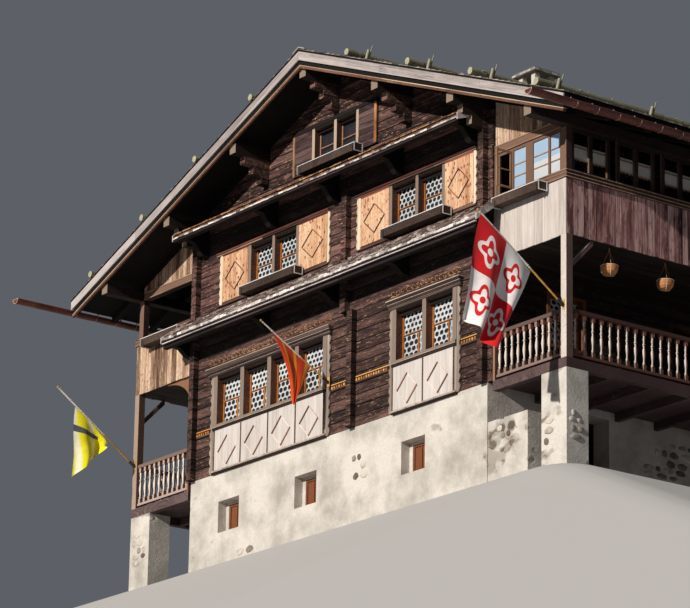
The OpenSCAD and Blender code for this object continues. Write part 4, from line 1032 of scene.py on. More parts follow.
# dark boards on the head rails, and a dark board in each reveal behind them: painted shade in the window heads
b = Build(45)
for key, (x0, n, light, post, sill, head, st) in GROUPS.items():
    deep = {"L": 0.085, "U": 0.080, "A": 0.060}[key[0]]
    proud = 0.050 if key[0] == "L" else 0.040
    for i in range(n):
        x = x0 + post + i * (light + post)
        b.box(x - 0.004, x + light + 0.004, -proud - 0.003, -proud + 0.0005, head - 0.052, head - 0.001)
        b.box(x + 0.001, x + light - 0.001, 0.045, 0.075, head - 0.050 - deep, head - 0.051)
b.box(-1.400, 1.372, -0.046, -0.001, 6.516, 6.602)
b.done("head_boards", [wood("head_shade_black", (9, 7, 7), (16, 12, 11), (28, 21, 19), "x", tint=True, crack=0.4)])


# ---------------------------------------------------------------- curtains
def cloth_mat(name, c0, c1, weave=900.0, rough=0.85, sheen=0.25, alpha=1.0):
    s = Shader(name, rough, 0.15)
    a = s.noise(s.scaled(s.co, (6, 6, 6)), 3.0, 0.6)
    w1 = s.noise(s.scaled(s.co, (weave, weave, 40)), 1.0, 0.5)
    s.color(s.mix(s.math("ADD", s.math("MULTIPLY", a, 0.7), s.math("MULTIPLY", w1, 0.3)), c0, c1))
    s.b.inputs["Sheen Weight"].default_value = sheen
    s.b.inputs["Alpha"].default_value = alpha
    s.bump(w1, 0.15, 0.001)
    return s.m


curtain_m = cloth_mat("curtain_cloth", (206, 214, 222), (246, 248, 250))
lace_m = cloth_mat("lace_cloth", (226, 224, 214), (252, 250, 244))


def curtain(name, put, a, c, z0, z1, folds, amp, mat, scallop=0.0, cols=None):
    """A gathered cloth a..c wide between z0 and z1. put(u, v, d) places a point of it."""
    cols = cols or folds * 8
    rows = 10
    verts = []
    for j in range(rows + 1):
        for i in range(cols + 1):
            f = i / cols
            fold = math.sin(2 * math.pi * folds * f + 0.6 * math.sin(5 * f))
            am = amp * (0.45 + 0.55 * (1 - j / rows))
            low = z0 + scallop * abs(math.sin(math.pi * folds * f))
            verts.append(put(a + (c - a) * f, low + (z1 - low) * j / rows, am * fold))
    faces = [(j * (cols + 1) + i, j * (cols + 1) + i + 1, (j + 1) * (cols + 1) + i + 1, (j + 1) * (cols + 1) + i)
             for j in range(rows) for i in range(cols)]
    me = bpy.data.meshes.new(name)
    me.from_pydata([(x, y + HY, z + HZ) for x, y, z in verts], [], faces)
    me.polygons.foreach_set("use_smooth", [True] * len(faces))
    me.materials.append(mat)
    me.update()
    o = bpy.data.objects.new(name, me)
    bpy.context.scene.collection.objects.link(o)
    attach(o, "root")
    return o


for key, (x0, n, light, post, sill, head, st) in GROUPS.items():
    for i, (a, c, z0, z1, z2, z3) in enumerate(panes(x0, n, light, post, sill, head)):
        if key[0] == "U":
            # half curtains low in each light
            put = lambda u, v, d: (u, st + 0.075 + d, v)
            curtain("curtain_%s_%d" % (key, i), put, a - 0.02, c + 0.02, z0 - 0.02, z1 - 0.02, 7, 0.012, curtain_m)
wine_m = cloth_mat("wine_cloth", (120, 14, 44), (206, 56, 96))
x0, n, light, post, sill, head, st = GROUPS["AG"]
for i, (a, c, z0, z1, z2, z3) in enumerate(panes(x0, n, light, post, sill, head)):
    put = lambda u, v, d: (u, st + 0.080 + d, v)
    curtain("curtain_AG_%d" % i, put, a - 0.03, c + 0.03, z0 - 0.02, z3 + 0.02, 6, 0.014, wine_m)
for i in range(8):
    y = 0.245 + i * 1.105
    for k, (a, c) in enumerate(((y, y + 0.355), (y + 0.445, y + 0.790))):
        if any(a < v + 0.095 and c > v - 0.09 for v in GALLERY_POSTS):
            continue
        put = lambda u, v, d: (6.912 + d * 0.4, u, v)
        curtain("lace_%d_%d" % (i, k), put, a - 0.003, c + 0.003, 3.80, 4.11, 4, 0.008, lace_m, 0.035)
for k, (a, c) in enumerate(((5.45, 5.80), (6.01, 6.44), (6.50, 6.77))):
    put = lambda u, v, d: (u, 0.135 + d, v)
    curtain("gallery_curtain_%d" % k, put, a + (c - a) * (0.45 if k == 0 else 0.62), c + 0.01, 3.60, 4.33, 4, 0.010, curtain_m)

# ---------------------------------------------------------------- drop panels and shutters
def bar(b, p, q, w, y0, y1, t=None, m=0):
    """A fillet from p to q in the plane of the wall."""
    dx, dz = q[0] - p[0], q[1] - p[1]
    ln = math.hypot(dx, dz)
    nx, nz = -dz / ln * w / 2, dx / ln * w / 2
    b.prism([(p[0] - nx, p[1] - nz), (q[0] - nx, q[1] - nz), (q[0] + nx, q[1] + nz), (p[0] + nx, p[1] + nz)], "y", y0, y1, t, m)


def diamond(b, cx, cz, hw, hh, w, y0, y1, dark, pale):
    L, R, T, B = (cx - hw, cz), (cx + hw, cz), (cx, cz + hh), (cx, cz - hh)
    bar(b, L, T, w, y0, y1, None, dark)
    bar(b, B, R, w, y0, y1, None, dark)
    e = 0.02
    bar(b, (T[0] + e, T[1] - e), (R[0] - e, R[1] + e), w * 0.8, y0 + 0.004, y1, None, pale)
    bar(b, (L[0] + e, L[1] - e), (B[0] - e, B[1] + e), w * 0.8, y0 + 0.004, y1, None, pale)


fillet_dark = wood("fillet_dark", (74, 46, 40), (112, 76, 66), (142, 104, 92), "z", tint=True, crack=0.3)
fillet_pale = wood("fillet_pale", (186, 166, 152), (210, 194, 180), (228, 216, 204), "z", tint=True, crack=0.2)
b = Build(51)
for x0, n, z0 in ((-3.910, 4, 0.050), (1.995, 2, 0.030)):
    for i in range(n):
        x = x0 + i * 0.928
        def put(b, a, c):
            j = b.r.uniform(-0.0006, 0.0006)
            b.box(a, c, -0.043 + j, -0.0125, z0 + 0.001, 0.904, None, 0)
        planks(b, x, x + 0.901, 0.29, 0.36, put, 0.0006)
        diamond(b, x + 0.438, z0 + 0.375, 0.306, 0.300, 0.026, -0.060, -0.0425, 1, 2)
b.done("drop_panel_boards", [panel_paint, fillet_dark, fillet_pale], ["drop_panels"])

fillet_black = wood("fillet_black", (36, 22, 20), (66, 44, 40), (98, 70, 62), "z", tint=True, crack=0.3)
fillet_red = wood("fillet_red", (84, 40, 30), (128, 66, 48), (164, 100, 76), "z", tint=True, crack=0.3)
cleat_red = wood("cleat_red", (78, 32, 26), (128, 60, 46), (168, 92, 72), "x", tint=True, crack=0.3)
b = Build(52)
for x0, x1 in ((-3.790, -2.889), (-1.151, -0.195), (0.895, 1.796), (3.534, 4.385)):
    def put(b, a, c):
        j = b.r.uniform(-0.002, 0.002)
        b.box(a, c, -0.044 + j, -0.0105, 3.601, 4.585 + b.r.uniform(-0.003, 0.003), None, 0)
    planks(b, x0 + 0.001, x1 - 0.001, 0.14, 0.24, put, 0.002)
    b.box(x0, x1, -0.052, -0.0105, 4.588, 4.612, None, 3)
    w = x1 - x0
    diamond(b, (x0 + x1) / 2 - 0.01, 4.08, w * 0.365, 0.300, 0.020, -0.058, -0.0435, 1, 2)
b.done("shutter_boards", [pine, fillet_black, fillet_red, cleat_red], ["upper_shutters"])

grey_plank = wood("grey_plank", (28, 19, 20), (60, 42, 42), (104, 82, 80), "x", tint=True, crack=0.6, bump=0.7, mottle=0.6)
orange_batten = wood("orange_batten", (92, 54, 30), (156, 100, 58), (204, 152, 98), "z", tint=True, crack=0.4, mottle=0.7)
pale_batten = wood("pale_batten", (92, 66, 46), (144, 108, 76), (184, 150, 114), "z", tint=True, crack=0.4, mottle=0.5)
b = Build(53)
for x0, x1, sg in ((-1.400, -0.772, -1), (0.772, 1.370, 1)):
    z = 5.641
    while z < 6.50:
        h = b.r.uniform(0.10, 0.15)
        if 6.509 - (z + h) < 0.07:
            h = 6.509 - z
        j = b.r.uniform(-0.004, 0.003)
        b.box(x0 + 0.001, x1 - 0.001, -0.042 + j, -0.0105, z, z + h - 0.005, None, 0)
        z += h
    if sg > 0:
        b.box(1.290, 1.369, -0.056, -0.0425, 5.650, 6.500, 0.7, 1)
    else:
        b.box(-1.399, -1.335, -0.056, -0.0425, 5.650, 6.500, 0.7, 2)
b.done("attic_shutter_boards", [grey_plank, orange_batten, pale_batten], ["attic_shutters"])

# ---------------------------------------------------------------- carved trim
b = Build(54)
cream_edge = wood("cream_edge", (92, 80, 72), (142, 129, 118), (186, 172, 160), "z", tint=True, crack=0.4)
cream_bright = wood("cream_bright", (170, 148, 122), (216, 198, 172), (238, 224, 202), "z", tint=True, crack=0.35)
hood_line = wood("hood_line", (120, 104, 96), (164, 148, 138), (200, 186, 176), "x", tint=True, crack=0.3)
old_wood = wood("old_wood", (54, 36, 30), (100, 74, 62), (150, 122, 106), "x", tint=True, crack=0.5, bump=0.7)
dark_trim = wood("dark_trim", (26, 18, 16), (54, 38, 34), (92, 74, 66), "x", tint=True, crack=0.5)


def wavy(b, x, w, z0, z1, side, a, n, m=0, y=-0.012, steps=56):
    """A carved board with a scalloped outer edge; side is the way the wave looks."""
    for i in range(steps):
        f0, f1 = i / steps, (i + 1) / steps

        def off(f):
            return w + a * (abs(math.sin(f * math.pi * n)) * 2 - 1) * 0.9
        o0, o1 = off(f0), off(f1)
        za, zb = z0 + (z1 - z0) * f0, z0 + (z1 - z0) * f1
        if side < 0:
            pts = [(x - o0, za), (x, za), (x, zb), (x - o1, zb)]
        else:
            pts = [(x, za), (x + o0, za), (x + o1, zb), (x, zb)]
        b.prism(pts, "y", y - 0.030, y, 0.5, m)


for x, side in ((-3.987, -1), (-0.133, 1)):
    wavy(b, x, 0.085, 0.0, 2.050, side, 0.026, 11, 0)
for x, side in ((1.958, -1), (3.922, 1)):
    wavy(b, x, 0.078, 0.0, 2.050, side, 0.024, 11, 0)
for x, w, side in ((-3.795, 0.090, -1), (-0.190, 0.060, 1), (0.890, 0.115, -1), (4.390, 0.075, 1)):
    wavy(b, x, w, 3.560, 4.620, side, 0.016, 6, 6, steps=42)
# strips between the drop panels, sills and foot planks
for x0, n, z0, xa, xb in ((-3.938, 5, 0.050, -3.985, -0.135), (1.967, 3, 0.030, 1.960, 3.920)):
    for i in range(n):
        b.box(x0 + i * 0.928, x0 + i * 0.928 + 0.026, -0.055, -0.001, z0, 0.904, 0.35, 1)
    b.box(xa, xb, -0.082, -0.001, 0.954, 0.965, 0.9, 0)
    b.box(xa, xb, -0.074, -0.001, 0.9455, 0.9535, 0.2, 2)
    b.box(x0 + (n - 1) * 0.928 + 0.027, xb - 0.001, -0.034, -0.001, z0, 0.904, 0.7, 0)
    b.box(xa + 0.001, x0 - 0.001, -0.034, -0.001, z0, 0.904, 0.7, 0)
    b.box(xa, xb, -0.066, -0.001, 0.906, 0.945, 0.1, 2)
    b.box(xa - 0.01, xb + 0.01, -0.085, -0.001, z0 - 0.034, z0 - 0.002, 0.8, 0)
    b.box(xa, xb, -0.060, -0.001, z0 - 0.060, z0 - 0.036, 0.1, 2)
# cornice: three mouldings, each with its own line
for x0, x1 in ((-4.180, -0.014), (1.850, 4.052)):
    run_x(b, x0, x1, -0.062, -0.001, 2.053, 2.096, 2, 2.0, 3.0, 0.001, 0.001)
    run_x(b, x0, x1, -0.070, -0.001, 2.0975, 2.108, 7, 2.0, 3.0, 0.001, 0.001)
    run_x(b, x0 - 0.01, x1 + 0.01, -0.088, -0.001, 2.110, 2.150, 2, 2.0, 3.0, 0.001, 0.001)
    run_x(b, x0 - 0.01, x1 + 0.01, -0.098, -0.001, 2.152, 2.164, 7, 2.0, 3.0, 0.001, 0.001)
    run_x(b, x0 - 0.02, x1 + 0.02, -0.118, -0.001, 2.166, 2.214, 2, 2.0, 3.0, 0.001, 0.001)
    run_x(b, x0 - 0.02, x1 + 0.02, -0.126, -0.001, 2.216, 2.232, 7, 2.0, 3.0, 0.001, 0.001)
# dentil frieze across the logs at sill height
for x0, x1 in ((-4.600, -4.095), (0.000, 0.600), (0.790, 1.860), (4.022, 4.600)):
    b.box(x0, x1, -0.026, -0.001, 0.985, 1.003, 0.95, 3)
    b.box(x0, x1, -0.010, -0.001, 0.962, 0.984, 0.1, 2)
    b.box(x0, x1, -0.010, -0.001, 0.905, 0.960, 0.1, 2)
    x = x0 + 0.01
    while x < x1 - 0.05:
        b.box(x, x + 0.042, -0.030, -0.0105, 0.908, 0.957, None, 3)
        x += 0.078
    b.box(x0, x1, -0.024, -0.001, 0.884, 0.902, 0.6, 1)
    b.box(x0, x1, -0.014, -0.001, 0.862, 0.882, 0.1, 2)
# drip boards over the upper groups, and the brown band under them
for x0, x1 in ((-4.000, -0.150), (0.720, 4.480)):
    run_x(b, x0, x1, -0.072, -0.001, 4.655, 4.690, 4, 1.6, 2.6, 0.002, 0.002)
    run_x(b, x0, x1, -0.056, -0.001, 4.620, 4.652, 1, 1.6, 2.6, 0.002, 0.002)
    run_x(b, x0 + 0.04, x1 - 0.04, -0.040, -0.001, 3.535, 3.592, 5, 1.6, 2.6, 0.002, 0.002)
ochre = wood("ochre_line", (120, 72, 30), (180, 120, 58), (216, 164, 100), "x", tint=True, crack=0.3)
red_board = wood("red_drip", (44, 22, 20), (82, 44, 38), (124, 74, 64), "x", tint=True, crack=0.4)
brown_band = wood("brown_band", (70, 48, 40), (112, 84, 72), (150, 122, 108), "x", tint=True, crack=0.6)
b.done("carved_boards", [cream_edge, old_wood, dark_trim, ochre, red_board, brown_band, cream_bright, hood_line], ["carved_trim"])

# carved band on the log over each cornice: a row of small chiselled scrolls
b = Build(55)
for x0, x1 in ((-4.20, -0.02), (1.85, 4.05)):
    x = x0
    while x < x1 - 0.12:
        w = b.r.uniform(0.10, 0.16)
        zc = 2.395 + b.r.uniform(-0.015, 0.015)
        pts = []
        n = 9
        for i in range(n + 1):
            a = math.pi * (0.1 + 1.5 * i / n) * (1 if b.r.random() > 0.15 else 1)
            pts.append((x + w / 2 + math.cos(a) * w * 0.42, zc + math.sin(a) * 0.042))
        for p, q in zip(pts, pts[1:]):
            bar(b, p, q, 0.011, -0.011, -0.001, None, 0)
        bar(b, (x, 2.335 + b.r.uniform(-.004, .004)), (x + w * 0.9, 2.338), 0.012, -0.009, -0.001, None, 0)
        x += w + 0.015
b.done("carved_band", [wood("chiselled", (92, 58, 36), (150, 108, 72), (204, 166, 122), "x", tint=True, crack=0.3)])

# ---------------------------------------------------------------- flags
def grid_cloth(name, pts, mat, flat, thick=0.0015):
    """pts: rows of points in the house frame; an open single-sided sheet of cloth is made of them."""
    rows, cols = len(pts), len(pts[0])
    verts = [(p[0], p[1] + HY, p[2] + HZ) for r in pts for p in r]
    faces = [(j * cols + i, j * cols + i + 1, (j + 1) * cols + i + 1, (j + 1) * cols + i) for j in range(rows - 1) for i in range(cols - 1)]
    me = bpy.data.meshes.new(name)
    me.from_pydata(verts, [], faces)
    uv = me.uv_layers.new(name="cut")
    for poly in me.polygons:
        for li in poly.loop_indices:
            vi = me.loops[li].vertex_index
            uv.data[li].uv = ((vi % cols) / (cols - 1), (vi // cols) / (rows - 1))
    me.polygons.foreach_set("use_smooth", [True] * len(faces))
    me.materials.append(mat)
    me.update()
    o = bpy.data.objects.new(name, me)
    bpy.context.scene.collection.objects.link(o)
    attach(o, "root")
    return o


def uv_of(s):
    n = s.new("ShaderNodeUVMap", uv_map="cut")
    return s.xyz(n.outputs[0])


def cloth_finish(s, col):
    w = s.noise(s.scaled(s.co, (700, 700, 700)), 1.0, 0.5)
    f = s.noise(s.scaled(s.co, (5, 5, 5)), 3.0, 0.6)
    col = s.mix(s.math("MULTIPLY", s.step(f, 0.35, 0.75), 0.22), col, (60, 20, 20))
    s.color(col)
    s.bump(s.math("ADD", w, s.math("MULTIPLY", f, 0.5)), 0.12, 0.002)
    s.b.inputs["Sheen Weight"].default_value = 0.2
    s.b.inputs["Subsurface Weight"].default_value = 0.0
    return s.m


def along_pole(y0, z0, lean, d, off):
    """Point on the underside of a pole that leans out from (y0, z0)."""
    return (y0 - d * math.cos(lean) , z0 + d * math.sin(lean) - off)


def hung_cloth(x, y0, z0, lean, d0, d1, drop, sway, waves, nx=44, nz=36, off=0.03, tip=1.0, gather=0.35, side=0.10):
    """Cloth tied along a leaning pole: its free edge falls and folds together."""
    pts = []
    for j in range(nz + 1):
        v = j / nz
        row = []
        for i in range(nx + 1):
            u = i / nx
            d = d0 + (d1 - d0) * u
            py, pz = along_pole(y0, z0, lean, d, off)
            # each thread falls straight down, drawn towards the lowest corner
            cy, cz = along_pole(y0, z0, lean, d0 + (d1 - d0) * 0.62, off)
            y = py + (cy - py) * gather * v ** 1.4
            fall = drop * (0.72 + 0.28 * u ** tip)
            z = pz - fall * v - sway * 0.0
            xx = x + side * v * math.sin(waves * 2 * math.pi * u + 1.1 * v) * (0.25 + 0.75 * v) + 0.02 * math.sin(9 * v + 5 * u)
            row.append((xx, y, z))
        pts.append(row)
    return pts


def flat_size(pts):
    """Size the cloth was cut to: the longest thread length each way."""
    a = np.array(pts)
    across = np.linalg.norm(np.diff(a, axis=1), axis=2).sum(axis=1)
    down = np.linalg.norm(np.diff(a, axis=0), axis=2).sum(axis=0)
    return round(float(across.max()), 3), round(float(down.max()), 3)


def cloth_area(pts):
    a = np.array(pts)
    d0 = a[1:, 1:] - a[:-1, :-1]
    d1 = a[1:, :-1] - a[:-1, 1:]
    return float(np.linalg.norm(np.cross(d0, d1), axis=2).sum() / 2)


def tapered_size(pts):
    """Cut of a cloth that runs to a point: its wide edge, and the height that goes with its area."""
    w = float(np.linalg.norm(np.diff(np.array(pts[0]), axis=0), axis=1).sum())
    return round(w, 3), round(cloth_area(pts) / w / 0.52, 3)


# right flag: quartered red and white, a plain quatrefoil ring counterchanged in each quarter (no arms)
s = Shader("flag_red_cloth", 0.8, 0.2)
u, v, _ = uv_of(s)
h1 = s.math("GREATER_THAN", u, 0.5)
h2 = s.math("GREATER_THAN", v, 0.5)
quarter = s.math("ABSOLUTE", s.math("SUBTRACT", h1, h2))
fu = s.math("MULTIPLY", s.math("SUBTRACT", s.math("FRACT", s.math("MULTIPLY", u, 2.0)), 0.5), 1.0)
fv = s.math("MULTIPLY", s.math("SUBTRACT", s.math("FRACT", s.math("MULTIPLY", v, 2.0)), 0.5), 1.15)
dist = s.math("SQRT", s.math("ADD", s.math("MULTIPLY", fu, fu), s.math("MULTIPLY", fv, fv)))
ang = s.math("ARCTAN2", fv, fu)
lobe = s.math("ADD", 0.25, s.math("MULTIPLY", s.math("COSINE", s.math("MULTIPLY", ang, 4.0)), 0.07))
gap = s.math("ABSOLUTE", s.math("SUBTRACT", dist, lobe))
mark = s.math("SUBTRACT", 1.0, s.step(gap, 0.045, 0.060))
core = s.math("SUBTRACT", 1.0, s.step(dist, 0.075, 0.090))
mark = s.math("MAXIMUM", mark, core)
field = s.math("ABSOLUTE", s.math("SUBTRACT", quarter, mark))
red_flag = cloth_finish(s, s.mix(field, (244, 238, 236), (214, 16, 28)))

s = Shader("flag_yellow_cloth", 0.8, 0.2)
u, v, _ = uv_of(s)
band = s.math("MULTIPLY", s.math("MULTIPLY", s.math("GREATER_THAN", v, 0.24), s.math("LESS_THAN", v, 0.34)), s.math("GREATER_THAN", u, 0.35))
pale = s.step(s.math("SINE", s.math("MULTIPLY", s.math("ADD", u, s.math("MULTIPLY", v, 0.15)), 2 * math.pi * 2.2)), 0.35, 0.9)
yellow_flag = cloth_finish(s, s.mix(band, s.mix(s.math("MULTIPLY", pale, 0.8), (246, 236, 20), (250, 250, 232)), (86, 92, 102)))

s = Shader("flag_orange_cloth", 0.8, 0.2)
u, v, _ = uv_of(s)
stripe = s.math("SINE", s.math("MULTIPLY", s.math("ADD", u, s.math("MULTIPLY", v, 0.06)), 2 * math.pi * 3.0))
orange_flag = cloth_finish(s, s.mix(s.step(stripe, 0.55, 0.9), (232, 66, 22), (244, 176, 40)))

LEAN = math.radians(35)


def four_corner_cloth(x, y0, z0, c, folds, amp, nx=48, nz=36):
    """c: the (out, up) corners inner-pole, tip-pole, inner-low, tip-low; folds grow towards the free edge."""
    pts = []
    for j in range(nz + 1):
        v = j / nz
        row = []
        for i in range(nx + 1):
            u = i / nx
            o = [(c[0][k] * (1 - u) + c[1][k] * u) * (1 - v) + (c[2][k] * (1 - u) + c[3][k] * u) * v for k in (0, 1)]
            belly = 0.10 * math.sin(math.pi * v) * math.sin(math.pi * u)
            w = amp * v ** 0.8 * math.sin(2 * math.pi * folds * u + 0.9 * v) + 0.03 * math.sin(7 * v + 3 * u)
            row.append((x + w, y0 - o[0] + belly, z0 + o[1] - 0.02))
        pts.append(row)
    return pts


pts = four_corner_cloth(6.915, 0.014, 0.960, ((0.770, 0.505), (1.925, 1.345), (1.62, -1.17), (2.24, -0.62)), 1.75, 0.125)
grid_cloth("right_flag_cloth", pts, red_flag, flat_size(pts))
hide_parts("right_flag")
pts = four_corner_cloth(-6.915, 0.014, 0.760, ((0.690, 0.452), (1.530, 1.045), (0.760, 0.30), (1.470, -0.42)), 1.6, 0.10)
grid_cloth("left_flag_cloth", pts, yellow_flag, tapered_size(pts))
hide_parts("left_flag")
# pennant: its long edge is tied along the pole, and its point hangs down
LEAN2 = math.radians(30)
pts = []
nz, nx = 30, 30
for j in range(nz + 1):
    v = j / nz
    row = []
    for i in range(nx + 1):
        u = i / nx
        d = 0.53 + (1.57 - 0.53) * u
        py, pz = along_pole(-0.056, 1.05, LEAN2, d, 0.020)
        ty, tz = -0.885, 0.430
        k = v * 0.965
        bow = 0.10 * math.sin(math.pi * v) * u
        row.append((-0.050 + 0.045 * math.sin(2 * math.pi * 1.6 * u + 0.8 * v) * v * (1 - 0.6 * v), py + (ty - py) * k + bow, pz + (tz - pz) * k + bow * 0.35))
    pts.append(row)
grid_cloth("pennant_cloth", pts, orange_flag, tapered_size(pts))
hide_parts("pennant")

# ---------------------------------------------------------------- troughs, pots and poles
white_iron = metal("white_iron", (190, 188, 184), (224, 222, 218), (240, 240, 238), rough=0.5)
soil_b = Build(61)
iron = Build(62)
TROUGHS = [(-2.850, -0.950, -0.075, 3.500), (1.850, 3.780, -0.075, 3.500), (-0.800, 1.080, -0.160, 5.500),
           (5.150, 6.500, -0.012, 3.260), (-6.500, -5.150, -0.012, 3.260)]
for (x0, x1, y, z) in TROUGHS:
    nx, ny = 40, 6
    verts, faces = [], []
    for j in range(ny + 1):
        for i in range(nx + 1):
            edge = 0 if (i in (0, nx) or j in (0, ny)) else 1
            verts.append((x0 + 0.016 + (x1 - x0 - 0.032) * i / nx, y - 0.184 + 0.168 * j / ny, z + 0.1352 + edge * soil_b.r.uniform(0.0, 0.014)))
    n = len(verts)
    faces = [(j * (nx + 1) + i, j * (nx + 1) + i + 1, (j + 1) * (nx + 1) + i + 1, (j + 1) * (nx + 1) + i) for j in range(ny) for i in range(nx)]
    soil_b.solid(verts, faces, 0.5)
    # frame of flat iron round each end
    for xe, sg in ((x0, -1), (x1, 1)):
        xa, xb = (xe, xe + 0.006) if sg > 0 else (xe - 0.006, xe)
        for (ya, yc, za, zc) in ((y - 0.216, y, z - 0.020, z - 0.001), (y - 0.216, y, z + 0.146, z + 0.166),
                                 (y - 0.216, y - 0.198, z - 0.001, z + 0.146), (y - 0.018, y, z - 0.001, z + 0.146)):
            iron.box(xa, xb, ya, yc, za, zc)
    iron.box(x0 - 0.004, x1 + 0.004, y - 0.210, y - 0.2005, z + 0.154, z + 0.166)
for (px, py) in ((6.800, 1.215), (6.800, 2.580)):
    verts = [(px, py, 1.975)]
    faces = []
    for j, r in enumerate((0.05, 0.10, 0.147)):
        for i in range(24):
            a = 2 * math.pi * i / 24
            verts.append((px + r * math.cos(a), py + r * math.sin(a), (1.972, 1.966, 1.961)[j] + soil_b.r.uniform(-0.003, 0.004)))
    faces = [(0, 1 + i, 1 + (i + 1) % 24) for i in range(24)]
    for j in range(2):
        a0 = 1 + j * 24
        faces += [(a0 + i, a0 + 24 + i, a0 + 24 + (i + 1) % 24, a0 + (i + 1) % 24) for i in range(24)]
    soil_b.solid(verts, faces, 0.4)
soil_b.done("soil", [soil_m], smooth=60)
iron.done("trough_irons", [white_iron])

# pale cord straps round the pots
b = Build(63)
for (px, py) in ((6.800, 1.215), (6.800, 2.580)):
    for k in range(3):
        a = math.radians((90, 210, 330)[k] + 0)
        prof = [(0.000, -0.192), (0.060, -0.187), (0.111, -0.162), (0.147, -0.116), (0.162, -0.060), (0.1625, -0.004)]
        for (r0, z0), (r1, z1) in zip(prof, prof[1:]):
            b.tube((px + r0 * math.cos(a), py + r0 * math.sin(a), 1.990 + z0), (px + r1 * math.cos(a), py + r1 * math.sin(a), 1.990 + z1), 0.006, n=8)
    n = 28
    for i in range(n):
        a, c = 2 * math.pi * i / n, 2 * math.pi * (i + 1) / n
        b.tube((px + 0.162 * math.cos(a), py + 0.162 * math.sin(a), 1.984), (px + 0.162 * math.cos(c), py + 0.162 * math.sin(c), 1.984), 0.007, n=8)
cordage = cloth_mat("pot_straps", (196, 178, 140), (226, 212, 178))
b.done("pot_straps", [cordage], smooth=40)

# wrought collars, ties and knobs on the flagpoles
b = Build(64)
white_pole = wood("white_pole", (196, 190, 180), (228, 224, 216), (244, 242, 238), "y", crack=0.15, rough=0.5)
for (x, y0, z0, ln, lean, r) in ((6.915, 0.014, 0.960, 2.42, 35, 0.018), (-6.915, 0.014, 0.760, 2.40, 35, 0.018), (-0.050, -0.056, 1.050, 1.90, 30, 0.014)):
    c, s_ = math.cos(math.radians(lean)), math.sin(math.radians(lean))

    def on_pole(d, k=0.0):
        return (x, y0 - d * c, z0 + d * s_ + k)
    b.tube(on_pole(0.0), on_pole(0.17), r + 0.012, n=20, m=1)
    for d in (0.02, 0.15):
        b.tube(on_pole(d), on_pole(d + 0.018), r + 0.018, n=20, m=1)
    b.tube(on_pole(ln * 0.40), on_pole(ln + 0.004), r + 0.0012, n=20, m=0)
    for d in np.linspace(ln * 0.42, ln - 0.06, 5):
        b.tube(on_pole(d), on_pole(d + 0.012), r + 0.006, n=16, m=2)
    b.tube(on_pole(ln - 0.006), on_pole(ln + 0.02), r + 0.009, r + 0.004, n=16, m=3)
iron_m = metal("dark_iron", (20, 19, 20), (38, 37, 38), (66, 62, 60), rough=0.5)
brass_m = metal("knob_brass", (150, 120, 60), (196, 162, 90), (226, 200, 130), rough=0.35, metallic=0.6)
b.done("pole_fittings", [white_pole, iron_m, cordage, brass_m], smooth=40)

# ---------------------------------------------------------------- gutters, snow logs, chimney
b = Build(65)
light_metal = metal("light_metal", (150, 128, 112), (190, 168, 150), (220, 204, 188), rough=0.4)
for sg, yf in ((1, -1.88), (-1, -2.30)):
    gx = sg * 8.193
    # hooks round the gutter, and bead along its outer lip
    for k in range(24):
        y = -0.80 + k * 11.6 / 23
        pts = [(gx - sg * 0.101 * math.cos(a), 4.290 - 0.1025 * math.sin(a)) for a in np.linspace(0.05, math.pi - 0.05, 9)]
        for p, q in zip(pts, pts[1:]):
            b.tube((p[0], y, p[1]), (q[0], y, q[1]), 0.0045, n=6, m=1, up=(0, 1, 0))
        b.box(min(gx - sg * 0.107, gx - sg * 0.097), max(gx - sg * 0.107, gx - sg * 0.097), y - 0.012, y + 0.012, 4.280, 4.420, 0.5, 1)
    b.tube((gx + sg * 0.098, yf, 4.291), (gx + sg * 0.098, 10.95, 4.291), 0.010, n=10, m=0)
    # round end cap with its rim
    n = 20
    for i in range(n):
        a, c = math.pi + math.pi * i / n, math.pi + math.pi * (i + 1) / n
        b.tube((gx + 0.098 * math.cos(a), yf - 0.002, 4.290 + 0.098 * math.sin(a)), (gx + 0.098 * math.cos(c), yf - 0.002, 4.290 + 0.098 * math.sin(c)), 0.006, n=6, m=1)
    b.box(gx - 0.094, gx + 0.094, yf - 0.004, yf - 0.001, 4.284, 4.292, 0.5, 1)
b.done("gutter_fittings", [gutter_metal, light_metal], smooth=40)

b = Build(66)
strap_m = metal("strap_iron", (60, 52, 46), (96, 86, 76), (140, 128, 116), rough=0.6)
for sg in (1, -1):
    for x in (1.616, 3.554, 5.456, 7.355):
        z = roof_z(x) + 0.108
        for k in range(6):
            y = -0.6 + k * 2.24
            b.tube((sg * x, y - 0.055, z), (sg * x, y - 0.025, z), 0.0705, n=24, m=0)
            b.tube((sg * x, y + 0.025, z), (sg * x, y + 0.055, z), 0.0705, n=24, m=0)
            # forked hook: a second tine beside the first
            b.tube((sg * (x + 0.100), y + 0.05, roof_z(x + 0.100) + 0.006), (sg * (x + 0.185), y + 0.10, z + 0.19), 0.018, 0.010, n=10, m=1)
        # branch stubs
        for k in range(7):
            y = b.r.uniform(-0.9, 10.9)
            a = b.r.uniform(0.2, 2.9)
            b.tube((sg * x, y, z), (sg * x + 0.088 * math.cos(a), y + 0.01, z + 0.088 * math.sin(a)), 0.020, 0.012, n=10, m=1)
b.done("snow_log_fittings", [strap_m, mossy_wood], smooth=40)

